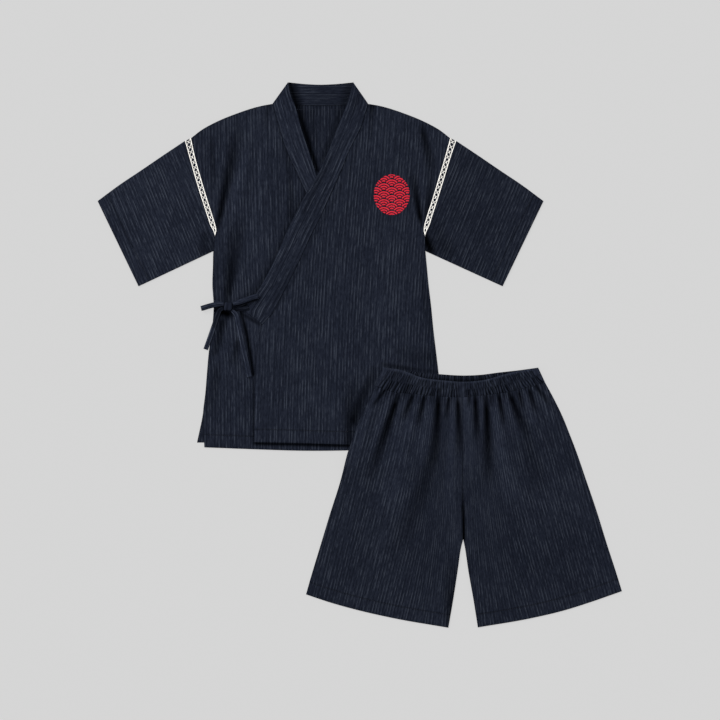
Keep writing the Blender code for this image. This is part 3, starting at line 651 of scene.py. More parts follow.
def along(stops, shares):
    """Places at these shares of the length of a smooth line through the stops."""
    stops = np.array(stops, float)
    spans = np.linalg.norm(np.diff(stops, axis=0), axis=1)
    at = np.concatenate([[0.0], np.cumsum(spans)])
    slopes = np.diff(stops, axis=0) / spans[:, None]
    ways = np.concatenate([slopes[:1], slopes, slopes[-1:]])
    before = np.concatenate([spans[:1], spans])[:, None]
    after = np.concatenate([spans, spans[-1:]])[:, None]
    ways = (ways[:-1] * after + ways[1:] * before) / (before + after)
    fine = np.linspace(0.0, at[-1], 24 * len(stops))
    k = np.clip(np.searchsorted(at, fine, side="right") - 1, 0, len(spans) - 1)
    s = ((fine - at[k]) / spans[k])[:, None]
    bend = spans[k][:, None]
    line = (1 + 2 * s) * (1 - s) ** 2 * stops[k] + s * s * (3 - 2 * s) * stops[k + 1]
    line += s * (1 - s) ** 2 * bend * ways[k] - s * s * (1 - s) * bend * ways[k + 1]
    run = np.concatenate([[0.0], np.cumsum(np.linalg.norm(np.diff(line, axis=0), axis=1))])
    wanted = np.array(shares) * run[-1]
    return np.stack([np.interp(wanted, run, line[:, axis]) for axis in range(line.shape[1])], axis=-1)


def shares(length, step=MESH_STEP, mark=None, close=None):
    """Places along a length, as shares of it, close together at both ends and round a line of sewing."""
    near = np.array([0.0, 0.5, 1.1, 1.9, 3.2])
    count = max(int((length - 2 * near[-1]) / step), 2)
    places = [near[:-1], np.linspace(near[-1], length - near[-1], count + 1), length - near[:-1]]
    if mark:
        places.append(length - mark + np.array([-2.4, -1.2, -0.5, 0.0, 0.5, 1.2, 2.4]))
    if close:
        places.append(np.arange(near[-1], close, 0.4 * step))
    return np.unique(np.round(np.concatenate(places), 3)) / length


def panel(top, foot, left, right, step=MESH_STEP, mark=None, mark_across=None, close=None, narrow=1.0):
    """Rows of places that fill four edges, which meet at their ends; close crowds the first rows."""
    u = shares(0.5 * (length_of(top) + length_of(foot)), narrow * step, mark_across)
    v = shares(0.5 * (length_of(left) + length_of(right)), step, mark, close)
    top, foot = along(top, u), along(foot, u)
    left, right = along(left, v)[:, None], along(right, v)[:, None]
    u, v = u[None, :, None], v[:, None, None]
    between_rows = (1 - v) * (top - (1 - u) * top[0] - u * top[-1])
    between_rows = between_rows + v * (foot - (1 - u) * foot[0] - u * foot[-1])
    return between_rows + (1 - u) * left + u * right


def from_edge(places, open_top=False, open_foot=False):
    """How far each place is from the nearest edge that is sewn or pressed, in millimetres."""
    rows = np.linalg.norm(np.diff(places, axis=0), axis=2)
    columns = np.linalg.norm(np.diff(places, axis=1), axis=2)
    down = np.concatenate([np.zeros((1, places.shape[1])), np.cumsum(rows, axis=0)])
    across = np.concatenate([np.zeros((places.shape[0], 1)), np.cumsum(columns, axis=1)], axis=1)
    near = np.minimum(across, across[:, -1:] - across)
    if not open_top:
        near = np.minimum(near, down)
    if not open_foot:
        near = np.minimum(near, down[-1] - down)
    return near


def along_folds(across, down, folds):
    """How strongly each fold is felt at each place; it fades out sideways as a soft bell."""
    for fold in folds:
        felt = np.zeros(np.shape(across))
        for start, finish in zip(fold, fold[1:]):
            run_across, run_down = finish[0] - start[0], finish[1] - start[1]
            share = (across - start[0]) * run_across + (down - start[1]) * run_down
            share = np.clip(share / (run_across**2 + run_down**2), 0.0, 1.0)
            off = across - start[0] - share * run_across
            off = np.hypot(off, down - start[1] - share * run_down)
            wide = start[2] + (finish[2] - start[2]) * share
            bell = (0.5 + 0.5 * np.cos(math.pi * np.minimum(off / wide, 1.0))) ** FOLD_FULL
            bell = bell * (start[3] + (finish[3] - start[3]) * share)
            felt = np.where(np.abs(bell) > np.abs(felt), bell, felt)
        yield felt


def relief(across, down, folds):
    """How far the folds sink or lift the cloth, as a share of the deepest."""
    return -sum(along_folds(across, down, folds))


def shading(*tables):
    """Painted shade of cloth that lies deep in its folds, and painted highlights on its pale ridges; 1 where
    it lies open.
    """

    def shade(across, down):
        tone = np.ones(np.shape(across))
        for felt in along_folds(across, down, [fold for table in tables for fold in table]):
            tone = tone * (1.0 - felt)
        return tone

    return shade


def pleats(count, seed):
    """Uneven small pleats side by side along the band: where each lies, its width and its depth."""
    chance = np.random.default_rng(seed)
    gaps = 0.55 + chance.random(count + 1)
    at = np.cumsum(gaps)[:-1] / gaps.sum()
    wide = (PLEAT_NARROW + PLEAT_UNEVEN * chance.random(count)) / count
    return np.stack([at, wide, PLEAT_FAINT + (1.0 - PLEAT_FAINT) * chance.random(count)], axis=-1)


def in_pleats(share, rows):
    """How deep in a row's pleats each share of the band's length lies, 0 to 1."""
    felt = np.zeros(np.shape(share))
    for at, wide, deep in rows:
        bell = 0.5 + 0.5 * np.cos(math.pi * np.minimum(np.abs(share - at) / wide, 1.0))
        felt = np.maximum(felt, deep * bell)
    return felt


def below_band(across, down):
    """How far below the band's foot each place of a leg lies."""
    foot = (*RIGHT_BAND_FOOT, *LEFT_BAND_FOOT[1:])
    return down - np.interp(across, [spot.across for spot in foot], [spot.down for spot in foot])


def leg_pleats(across, down):
    """The band's small pleats as they run out into the legs, splayed with the gathers."""
    below = np.maximum(below_band(across, down), 0.0)
    start = RIGHT_BAND_FOOT[0].across
    straight = across / (1.0 + below / PLEAT_SPLAY)
    share = (straight - start) / (LEFT_BAND_FOOT[-1].across - start)
    plain = ease((np.abs(across) - SEAM_PLAIN) / SEAM_PLAIN)
    return plain * np.exp(-((below / PLEAT_RUN) ** 2)) * in_pleats(share, pleats(BAND_GATHERS, 7))


def waviness(across, down, high, long):
    """Slight unevenness of cloth that has been laid by hand."""
    wave = np.zeros(np.shape(across))
    for turn, size, start in ((0.2, 1.0, 0.4), (1.1, 0.63, 2.1), (2.3, 1.37, 4.0), (2.9, 0.81, 5.2)):
        way = across * math.cos(turn) + down * math.sin(turn)
        wave += np.sin(2.0 * math.pi * way / (long * size) + start)
    return 0.25 * high * wave


def in_jacket(across, down):
    """The jacket's own place as millimetres on the table."""
    return JACKET_X + across, JACKET_Y - down


def in_shorts(across, down):
    """The shorts' own place as millimetres on the table."""
    cos, sin = math.cos(SHORTS_TURN), math.sin(SHORTS_TURN)
    return SHORTS_X + across * cos + down * sin, SHORTS_Y + across * sin - down * cos


# ---------------------------------------------------------------- heights of the layers


def inward(across, down):
    """How far a place on a front is from its side seam, its shoulder and its hem, 0 to 1 in all."""
    side = np.where(across < 0, column(BODY_EDGE, "right", down), column(BODY_EDGE, "left", down))
    slope = SHOULDER_SLOPE * np.maximum(np.abs(across) - SHOULDER[0].across, 0.0)
    below_shoulder = down - SHOULDER[0].down - slope
    in_from_side = ease((side - np.abs(across)) / EDGE_EASE)
    return in_from_side * ease(below_shoulder / EDGE_EASE) * ease((BACK_HEM - down) / EDGE_EASE)


def under_shorts(across, down):
    """1 where the shorts press the jacket flat, 0 well clear of them."""
    side = reach((SHORTS_CROSS_HIGH, SHORTS_CROSS_LOW), down)
    inside_top = (down - SHORTS_CROSS_HIGH.down + PRESSED_MARGIN) / PRESSED_EASE
    return ease(inside_top) * ease((across - side + PRESSED_MARGIN) / PRESSED_EASE)


def lap_height(across, down):
    """Height of the over lap's underside: on the back, or higher where the under lap lies between."""
    off = across - reach(UNDER_LAP_EDGE, down) - STEP_CLEAR
    return FRONT_LIES + (LAP_LIES - FRONT_LIES) * ease(1.0 - off / LAP_RAMP)


def under_front_height(across, down):
    """The under front's underside, which lies flat where the over lap covers it."""
    lift = FRONT_LOFT * inward(across, down) + FRONT_FOLD_DEEP * relief(across, down, UNDER_FOLDS)
    lift += waviness(across, down, 0.35, 62.0) * inward(across, down)
    clear = ease((reach(OVER_LAP_EDGE, down) - across) / LAP_EASE)
    clear = np.where(down > LAPS_CROSS_DOWN, clear, 1.0)
    sewn = ease((reach(UNDER_BAND_OUTER, down) - across) / SEAM_EASE)
    return FRONT_LIES + np.maximum(lift, 0.0) * clear * sewn


def over_front_height(across, down):
    """The over front's underside, pressed flat where the shorts lie on it."""
    lift = FRONT_LOFT * inward(across, down) + FRONT_FOLD_DEEP * relief(across, down, OVER_FOLDS)
    lift += waviness(across, down, 0.35, 70.0) * inward(across, down)
    sewn = ease((across - reach(OVER_BAND_OUTER + OVER_FREE_EDGE[1:], down)) / SEAM_EASE)
    return lap_height(across, down) + np.maximum(lift, 0.0) * (1.0 - under_shorts(across, down)) * sewn


def over_band_height(across, down):
    """The over lap's collar band, level with the under band until the laps cross."""
    return np.maximum(COLLAR_LIES, lap_height(across, down))


def jacket_top(across, down):
    """Height of the highest cloth of the jacket's front at a place."""
    on_over = LAP_LIES + BAND_WALL
    on_under = under_front_height(across, down) + WALL
    in_body = across > -column(BODY_EDGE, "right", down) - 0.5 * BOW_MARGIN
    over = across > reach(OVER_LAP_EDGE, down) - 0.5 * BOW_MARGIN
    return np.where(over, on_over, np.where(in_body, on_under, 0.0))


def cloth_under_bow(across, down):
    """Height of the highest cloth within a tie band's half width of a place."""
    highest = 0.0
    for step_across in (-BOW_MARGIN, 0.0, BOW_MARGIN):
        for step_down in (-BOW_MARGIN, 0.0, BOW_MARGIN):
            highest = np.maximum(highest, jacket_top(across + step_across, down + step_down))
    return highest


def table_or_jacket(across, down):
    """What a place in the shorts lies on: the jacket where it reaches, stepping down to the table."""
    x, y = in_shorts(across, down)
    jacket_across = x - JACKET_X
    jacket_down = JACKET_Y - y
    past_side = jacket_across - column(BODY_EDGE, "left", jacket_down) - STEP_FLAT
    past_hem = jacket_down - SHORTS_CROSS_LOW.down - STEP_FLAT
    past = np.hypot(np.maximum(past_side, 0.0), np.maximum(past_hem, 0.0))
    on_jacket = lap_height(jacket_across, jacket_down) + WALL + LEG_ROOM
    return on_jacket * ease(1.0 - past / STEP_RAMP)


def sunk(across, down, *tables):
    """How deep the folds of these tables sink the cloth, 0 to 1, with their pale ridges left out."""
    return np.clip(1.0 - shading(*tables)(across, down), 0.0, 1.0)


def leg_back_height(across, down):
    """A leg back's underside, raised in creases like the front's, seen from the other side."""
    side = np.where(across < 0, column(LEG_OUTER, "right", down), column(LEG_OUTER, "left", down))
    in_from_side = ease((side - np.abs(across)) / EDGE_EASE)
    return table_or_jacket(across, down) + LEG_BACK_FOLD * in_from_side * sunk(-across, down, LEG_GATHERS)


def back_height(across, down):
    """The body back's underside, raised in creases like the fronts', below the neck."""
    start, run = BACK_FOLD_FROM
    return BODY_BACK_FOLD * ease((down - start) / run) * sunk(-across, down, UNDER_FOLDS, OVER_FOLDS)


def leg_front_height(across, down):
    """A leg front's underside, puffed between the gathers below the band."""
    side = np.where(across < 0, column(LEG_OUTER, "right", down), column(LEG_OUTER, "left", down))
    in_from_side = ease((side - np.abs(across)) / EDGE_EASE)
    above_hem = LEG_INNER[-1].down - HEM_SLOPE * np.abs(across) - down
    below_band = np.maximum(down - LEG_INNER[0].down, 0.0)
    lift = LEG_LOFT * in_from_side * ease(above_hem / EDGE_EASE)
    puff = PUFF_HIGH * np.exp(-below_band / PUFF_FADE) * ease((side - np.abs(across)) / 22.0)
    lift += puff + waviness(across, down, 0.5, 58.0) * in_from_side * ease(above_hem / EDGE_EASE)
    lift += LEG_FOLD_DEEP * relief(across, down, LEG_GATHERS)
    lift -= PLEAT_DEEP * leg_pleats(across, down)
    return table_or_jacket(across, down) + WALL + LEG_ROOM + np.maximum(lift, 0.0)


# ---------------------------------------------------------------- grain of the cloth


def straight_grain(across, down):
    """Warp that runs straight down the piece."""
    return across, down


def down_the_warp(across, down, lean, to_down, steps=24):
    """Where the warp thread at a place crosses the line this many millimetres down."""
    stride = (to_down - down) / steps
    for k in range(steps):
        across = across + stride * lean(across, down + stride * (k + 0.5))
    return across


def under_grain(across, down):
    """Warp of the under front."""
    return down_the_warp(across, down, lambda a, d: column(BODY_LEAN, "right", d), 760.0), down


def over_grain(across, down):
    """Warp of the over front, which leans towards its hem."""
    return down_the_warp(across, down, lambda a, d: column(BODY_LEAN, "left", d), 760.0), down


def leg_lean(across, down):
    """Lean of a leg's warp: upright at the centre seam, fanned out towards the side."""
    fan = np.interp(down, [row[0] for row in LEG_FAN], [row[1] for row in LEG_FAN])
    return LEG_LEAN * np.clip(across / fan, -1.0, 1.0)


def leg_grain(across, down):
    """Warp of a leg, denser where it is gathered."""
    return down_the_warp(across, down, leg_lean, LEG_HEM) + LEG_WARP, SLUB_SHORTER * down


def sleeve_grain(across, down):
    """Warp of a sleeve, square to its top fold."""
    cos, sin = math.cos(SLEEVE_LEAN), math.sin(SLEEVE_LEAN)
    out = np.abs(across)
    return np.sign(across) * (out * cos + down * sin), SLUB_SHORTER * (down * cos - out * sin)


# ---------------------------------------------------------------- laying out cloth


def show(name, corners, faces, grain, finish, shade=None):
    """A piece of the set from corners in millimetres, its faces outwards, its grain as its UV map."""
    data = bpy.data.meshes.new(name)
    data.from_pydata((corners * MM).tolist(), [], faces.tolist() if hasattr(faces, "tolist") else faces)
    ends = np.empty(len(data.loops), dtype=np.int32)
    data.loops.foreach_get("vertex_index", ends)
    layer = data.uv_layers.new(name="grain")
    layer.data.foreach_set("uv", (grain[ends] * MM).astype(np.float32).ravel())
    # Painted light and shade of each corner, by which the finish multiplies the cloth's colour.
    tone = data.attributes.new("shade", "FLOAT", "POINT")
    tone.data.foreach_set("value", np.ones(len(corners)) if shade is None else np.asarray(shade).ravel())
    mesh = bmesh.new()
    mesh.from_mesh(data)
    bmesh.ops.recalc_face_normals(mesh, faces=mesh.faces[:])
    mesh.to_mesh(data)
    mesh.free()
    data.materials.append(finish)
    data.shade_smooth()
    piece = bpy.data.objects.new(name, data)
    bpy.context.scene.collection.objects.link(piece)
    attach(piece, "root")
    return piece


def quads(rows, columns, start=0, around=False):
    """Faces of a grid of corners that are numbered row by row; around joins its last column to its first."""
    r, c = np.meshgrid(np.arange(rows - 1), np.arange(columns if around else columns - 1), indexing="ij")
    after = (c + 1) % columns
    corners = (r * columns + c, (r + 1) * columns + c, (r + 1) * columns + after, r * columns + after)
    return np.stack([corner.ravel() for corner in corners], axis=-1) + start


def rim(line, start):
    """Faces that join a line of corners on a shell's outside to the same line on its inside."""
    line = np.asarray(line)
    return np.stack([line[:-1], line[1:], line[1:] + start, line[:-1] + start], axis=-1)


def shell(outer, inner, around=False):
    """Corners and faces of a closed layer of cloth between two grids of places."""
    rows, columns = outer.shape[:2]
    count = rows * columns
    number = np.arange(count).reshape(rows, columns)
    faces = [quads(rows, columns, 0, around), quads(rows, columns, count, around)[:, ::-1]]
    first, last = number[0], number[-1]
    if around:
        first, last = np.append(first, first[0]), np.append(last, last[0])
    else:
        faces += [rim(number[:, 0], count), rim(number[::-1, -1], count)]
    faces += [rim(first[::-1], count), rim(last, count)]
    corners = np.concatenate([outer.reshape(-1, 3), inner.reshape(-1, 3)])
    return corners, np.concatenate(faces)


def pressed_edge(off):
    """Share of the wall that is left this far in from an edge that is turned in and pressed."""
    share = np.clip(1.0 - off / EDGE_ROUND, 0.0, 1.0)
    return EDGE_LOW + (1.0 - EDGE_LOW) * np.sqrt(1.0 - share**2)


def hem_relief(off, deep):
    """A hem this deep: the turned cloth stands a little proud, up to the groove of its sewing."""
    return HEM_PROUD * ease((deep - off) / 3.0) - SEWN_DEEP * np.exp(-(((off - deep) / SEWN_WIDE) ** 2))


def sewn_shade(off, deep):
    """The shade in the groove of a hem's sewing."""
    return 1.0 - HEM_DARK * np.exp(-(((off - deep) / HEM_SOFT) ** 2))


def lay(
    name, garment, places, height, wall, grain, finish, hem=None, shade=None, open_top=False, seam=SEAM_DARK
):
    """A layer of cloth over a panel's places; height gives its underside, grain its warp, shade the
    painted light and shade of its outside and seam the painted shade along its edges.
    """
    across, down = places[..., 0], places[..., 1]
    x, y = garment(across, down)
    low = height(across, down)
    off = from_edge(places, open_top)
    high = low + wall * pressed_edge(off)
    tone = np.ones(low.shape) if shade is None else shade(across, down)
    if hem:
        rows = np.linalg.norm(np.diff(places, axis=0), axis=2)
        from_foot = np.concatenate([np.cumsum(rows[::-1], axis=0)[::-1], np.zeros((1, rows.shape[1]))])
        high = high + hem_relief(from_foot, hem)
        tone = tone * sewn_shade(from_foot, hem)
    warp_across, warp_down = grain(across, down)
    outer = np.stack([x, y, high], axis=-1)
    inner = np.stack([x, y, low], axis=-1)
    corners, faces = shell(outer, inner)
    uv = np.stack([warp_across, warp_down], axis=-1).reshape(-1, 2)
    # Painted shade along the edges and seams.
    tone = tone * (1.0 - seam * np.exp(-off / SEAM_SOFT))
    tone = np.stack([tone, np.ones(low.shape)])
    return show(name, corners, faces, np.concatenate([uv, uv + WRONG_SIDE]), finish, tone)


def stands_for(node):
    """Hides the frame's node, whose place a piece of cloth takes."""
    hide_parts(node)


def level(height):
    """A height that is the same everywhere."""
    return lambda across, down: np.full(np.shape(across), height)


def side_rows(side, first, last, beyond=0.0):
    """The body's edge between two heights, a little beyond its seam."""
    sign = -1.0 if side == "right" else 1.0
    rows = [row for row in BODY_EDGE if first <= row.down <= last]
    return tuple(Spot(sign * (getattr(row, side) + beyond), row.down) for row in rows)


def neck_shade(across, down):
    """Painted shade: the back is painted a little darker, as in the shade of the lapels, most along the
    wearer's right one.
    """
    return NECK_PAINTED_SHADE * shading(NECK_SHADES)(across, down)


def under_shade(across, down):
    """Painted shade of the under front: in its folds, and along the band and the lap that lie on it."""
    off = np.maximum(reach(OVER_LAP_EDGE, down) - across, 0.0)
    beside = ease((down - LAPS_CROSS_DOWN + 30.0) / 30.0) * ease((OVER_BAND_INNER[-1].down - down) / 20.0)
    band = LAP_DARK * beside * np.exp(-off / LAP_SOFT)
    return shading(UNDER_FOLDS, UNDER_SHADES)(across, down) * (1.0 - band)


def make_back(finish):
    """The body back, flat on the floor from the shoulders to its hem."""
    right = side_rows("right", ARMHOLE_TOP, SLIT_TOP)
    left = side_rows("left", ARMHOLE_TOP, SLIT_TOP)
    right += (Spot(right[-1].across - BACK_FLARE, BACK_HEM),)
    left += (Spot(left[-1].across + BACK_FLARE, BACK_HEM),)
    top = (*reversed(mirrored(SHOULDER)), BACK_NECK, *SHOULDER)
    places = panel(top, (right[-1], left[-1]), right, left, step=1.5 * MESH_STEP)
    piece = lay(
        "jacket_back_cloth", in_jacket, places, back_height, WALL, straight_grain, finish, shade=neck_shade
    )
    stands_for("jacket_back")
    return piece


def make_fronts(finish):
    """The under front, then the over front that laps it."""
    shoulder = tuple(reversed(mirrored(SHOULDER)))
    side = (*side_rows("right", ARMHOLE_TOP, SLIT_TOP), UNDER_HEM[0])
    edge = shifted(UNDER_BAND_OUTER + UNDER_FREE_EDGE[1:], -SEAM)
    hem = (*UNDER_HEM[:-1], edge[-1])
    places = panel((*shoulder[:-1], edge[0]), hem, side, edge, FRONT_STEP, HEM_DEEP)
    under = lay(
        "front_right_under_cloth",
        in_jacket,
        places,
        under_front_height,
        WALL,
        under_grain,
        finish,
        HEM_DEEP,
        under_shade,
    )
    stands_for("front_right_under")

    side = (*side_rows("left", ARMHOLE_TOP, SLIT_TOP), OVER_HEM[-1])
    edge = shifted(OVER_BAND_OUTER + OVER_FREE_EDGE[1:], SEAM)
    hem = (edge[-1], *OVER_HEM[1:])
    places = panel((edge[0], *SHOULDER[1:]), hem, edge, side, FRONT_STEP, HEM_DEEP)
    over = lay(
        "front_left_over_cloth",
        in_jacket,
        places,
        over_front_height,
        WALL,
        over_grain,
        finish,
        HEM_DEEP,
        shading(OVER_FOLDS, OVER_SHADES),
    )
    stands_for("front_left_over")


def band_grain(left, right):
    """Warp along a collar band, between its two edges."""

    def along_band(across, down):
        start, finish = reach(left, down), reach(right, down)
        share = (across - start) / (finish - start)
        return BAND_WIDE * share, down * BAND_SLANT

    return along_band


def band_shade(side, folds):
    """Painted light of a collar band: lighter on the side turned to the light, with the painted shade of
    its folds.
    """
    return lambda across, down: BAND_PAINTED_LIGHT[side] * shading(folds)(across, down)


def neck_height(across, down):
    """The band round the back neck: it laps the back at its seam and rises at its ends to the others."""
    ends = NECK_RISE * ease((np.abs(across) - NECK_FLAT) / (SHOULDER[0].across - NECK_FLAT))
    return np.maximum(ends, (WALL + 0.1) * ease(1.0 - (NECK_SEAM[1].down - down) / 8.0))


def neck_grain(across, down):
    """The back band is cut along the warp, so its grain runs across the neck."""
    return NECK_FINE * down, across


def make_collar(finish):
    """The band round the back neck and the band down each front."""
    ends = [(NECK_TOP[k], NECK_SEAM[k]) for k in (0, -1)]
    places = panel(NECK_TOP, NECK_SEAM, *ends, step=3.0)
    back = lay(
        "collar_back_cloth",
        in_jacket,
        places,
        neck_height,
        BAND_WALL,
        neck_grain,
        finish,
        shade=neck_shade,
        seam=NECK_SEAM_DARK,
    )
    stands_for("collar_back")

    bands = (
        (
            "right",
            UNDER_BAND_OUTER,
            UNDER_BAND_INNER,
            level(COLLAR_LIES),
            band_shade("right", UNDER_BAND_SHADES),
            ["front_right_under_cloth"],
        ),
        (
            "left",
            OVER_BAND_INNER,
            OVER_BAND_OUTER,
            over_band_height,
            band_shade("left", OVER_BAND_SHADES),
            ["collar_right_cloth"],
        ),
    )
    for side, left, right, height, shade, rests_on in bands:
        places = panel((left[0], right[0]), (left[-1], right[-1]), left, right, step=3.0)
        grain = band_grain(left, right)
        name = f"collar_{side}_cloth"
        band = lay(
            name, in_jacket, places, height, BAND_WALL, grain, finish, shade=shade, seam=BAND_SEAM_DARK
        )
        stands_for("collar_" + side)


def lace_outer_edge(side, beyond=0.0):
    """The lace's seam with the sleeve, from the shoulder to its tip under the arm."""
    sign = -1.0 if side == "right" else 1.0
    spots = []
    for row in BODY_EDGE:
        if row.down <= ARMHOLE_FOOT:
            out = getattr(row, side) + row.lace + beyond
            slope = LACE_END_SLOPE * row.lace if row.down == ARMHOLE_TOP else 0.0
            spots.append(Spot(sign * out, row.down + slope))
    return tuple(spots)


def make_sleeve(side, finish):
    """A short straight sleeve: a flattened tube from the lace to the cuff, open at both ends."""
    sign = -1.0 if side == "right" else 1.0
    armhole = list(lace_outer_edge(side, SEAM))
    for down in UNDER_ARM:
        edge = float(column(BODY_EDGE, side, down))
        armhole.append(Spot(sign * (edge - UNDER_ARM_LAP), down))
    top = (armhole[0], *(Spot(sign * spot.across, spot.down) for spot in SLEEVE_TOP[1:]))
    cuff = Spot(sign * SLEEVE_FOOT.across, SLEEVE_FOOT.down)
    foot = (armhole[-1], cuff)
    places = panel(top, foot, armhole, (top[-1], cuff), mark_across=CUFF_DEEP)
    rows = np.linalg.norm(np.diff(places, axis=0), axis=2)
    off = np.concatenate([np.zeros((1, places.shape[1])), np.cumsum(rows, axis=0)])
    wide = off[-1]
    columns = np.linalg.norm(np.diff(places, axis=1), axis=2)
    out = np.concatenate([np.zeros((places.shape[0], 1)), np.cumsum(columns, axis=1)], axis=1)
    from_cuff = out[:, -1:] - out

    near = np.minimum(off, wide - off)
    share = np.clip(1.0 - near / (0.5 * SLEEVE_HIGH), 0.0, 1.0)
    half = 0.5 * SLEEVE_HIGH * np.sqrt(1.0 - share**2)
    rising = ease(out / (SLEEVE_RISE * out[:, -1:]))
    loft = SLEEVE_LOFT * ease(near / EDGE_EASE) * rising * ease(from_cuff / (SLEEVE_SINK * out[:, -1:]))
    across, down = places[..., 0], places[..., 1]
    creases = waviness(across, down, 0.6, 64.0)
    lift = np.maximum(loft + creases * ease(near / 30.0) * rising, 0.0)
    mouth = 1.0 - 0.45 * np.clip(1.0 - np.minimum(out, from_cuff) / EDGE_ROUND, 0.0, 1.0) ** 2
    high = 0.5 * SLEEVE_HIGH + half * mouth + lift + hem_relief(from_cuff, CUFF_DEEP)
    low = 0.5 * SLEEVE_HIGH - half * mouth

    x, y = in_jacket(across, down)
    upper = np.stack([x, y, high], axis=-1)
    lower = np.stack([x, y, low], axis=-1)[-2:0:-1]
    ring = np.concatenate([upper, lower]).transpose(1, 0, 2)
    before, after = np.roll(ring, 1, axis=1), np.roll(ring, -1, axis=1)
    way = after - before
    outwards = np.stack([np.zeros(way.shape[:2]), way[..., 2], -way[..., 1]], axis=-1)
    run = np.gradient(ring, axis=0)
    outwards = np.cross(way, run)
    outwards /= np.linalg.norm(outwards, axis=2, keepdims=True)
    middle = ring.mean(axis=1, keepdims=True)
    if np.sum((ring - middle) * outwards) < 0.0:
        outwards = -outwards
    inner = ring - outwards * WALL
    floor_gap = 0.1
    inner[..., 2] = np.clip(inner[..., 2], floor_gap, None)
    corners, faces = shell(ring, inner, around=True)
    warp_across, warp_down = sleeve_grain(across, down)
    uv = np.stack([warp_across, warp_down], axis=-1)
    uv = np.concatenate([uv, uv[-2:0:-1] + WRONG_SIDE]).transpose(1, 0, 2).reshape(-1, 2)
    # Painted shade in the armpit's folds, along the edges and at the cuff's sewing; painted light, lighter
    # on one sleeve and darker on the other.
    tone = shading(SLEEVE_SHADES)(across, down) * (1.0 - SEAM_DARK * np.exp(-out / SEAM_SOFT))
    tone = tone * SLEEVE_PAINTED_LIGHT[side] * sewn_shade(from_cuff, CUFF_DEEP)
    tone = np.concatenate([tone, tone[-2:0:-1]]).transpose(1, 0)
    tone = np.stack([tone, tone])
    piece = show(
        f"sleeve_{side}_cloth", corners, faces, np.concatenate([uv, uv + WRONG_SIDE]), finish, tone
    )
    stands_for("sleeve_" + side)


def leg_panel(side, step, mark=None, close=None, narrow=1.0):
    """A leg's places, from the band's foot to the hem."""
    sign = -1.0 if side == "right" else 1.0
    outer = tuple(Spot(sign * getattr(row, side), row.down) for row in LEG_OUTER)
    inner = tuple(Spot(sign * (getattr(row, side) + LEG_SEAM), row.down) for row in LEG_INNER)
    band = RIGHT_BAND_FOOT if side == "right" else LEFT_BAND_FOOT
    top = [Spot(spot.across, spot.down + BAND_SEAM) for spot in band]
    hem = list(RIGHT_HEM if side == "right" else LEFT_HEM)
    centre = -1 if side == "right" else 0
    top[centre] = Spot(inner[0].across, top[centre].down)
    hem[centre] = inner[-1]
    left, right = (outer, inner) if side == "right" else (inner, outer)
    left = (top[0], *left[1:-1], hem[0])
    right = (top[-1], *right[1:-1], hem[-1])
    return panel(top, hem, left, right, step, mark, close=close, narrow=narrow)


def leg_shade(across, down):
    """Painted shade of a leg: in its gathers, in the band's small pleats where they run out, and at its
    seams, with painted light just below the band.
    """
    tone = shading(LEG_GATHERS, LEG_SHADES)(across, down)
    tone = tone * (1.0 + LEG_TOP_LIGHT * np.exp(-np.maximum(below_band(across, down), 0.0) / 9.0))
    return LEG_TONE * tone * (1.0 - 0.75 * PLEAT_DARK * leg_pleats(across, down))


def make_legs(finish):
    """Each leg's back on the floor or the jacket, and its gathered front on that."""
    for side in ("right", "left"):
        places = leg_panel(side, MESH_STEP)
        back = lay(
            f"leg_back_{side}_cloth", in_shorts, places, leg_back_height, WALL, leg_grain, finish
        )
        stands_for("leg_back_" + side)
        places = leg_panel(side, LEG_STEP, HEM_DEEP, PLEATS_CLOSE, 0.6)
        front = lay(
            f"leg_front_{side}_cloth",
            in_shorts,
            places,
            leg_front_height,
            WALL,
            leg_grain,
            finish,
            HEM_DEEP,
            leg_shade,
            open_top=True,
        )
        stands_for("leg_front_" + side)


# ---------------------------------------------------------------- elastic channel


def channel(name, node, top, foot, lies, wall, gathers, finish):
    """One side of the elastic channel; gathers gives the rise and the tone of its outside, which holds its
    painted light and shade.
    """
    u = np.linspace(0.0, 1.0, GATHER_STEPS * BAND_GATHERS + 1)
    v = np.unique(np.concatenate([np.linspace(0.0, 1.0, CHANNEL_ROWS), [0.01, 0.03, 0.97, 0.99]]))
    upper, lower = along(top, u), along(foot, u)
    places = (1 - v[:, None, None]) * upper + v[:, None, None] * lower
    across, down = places[..., 0], places[..., 1]
    x, y = in_shorts(across, down)
    low = table_or_jacket(across, down) + lies
    off = from_edge(places, open_foot=True)
    share = np.broadcast_to(v[:, None], low.shape)
    rise, tone = gathers(np.broadcast_to(u, low.shape), share, across)
    high = low + wall * pressed_edge(off) + rise
    corners, faces = shell(np.stack([x, y, high], axis=-1), np.stack([x, y, low], axis=-1))
    uv = np.stack([across * GATHERED, down], axis=-1).reshape(-1, 2)
    tone = np.stack([tone, np.ones(low.shape)])
    piece = show(name, corners, faces, np.concatenate([uv, uv + WRONG_SIDE]), finish, tone)
    stands_for(node)


def pleat_row(u, v, seed, first, last):
    """A row of the band's pleats between two depths, as shares of it."""
    showing = ease((v - first) / PLEAT_ENDS) * ease((last - v) / PLEAT_ENDS)
    splayed = u - PLEAT_LEAN * (v - 1.0) * (u - 0.5) + PLEAT_WAVER * np.sin(6.0 * v + 61.0 * u + seed)
    return showing * in_pleats(splayed, pleats(BAND_GATHERS, seed))


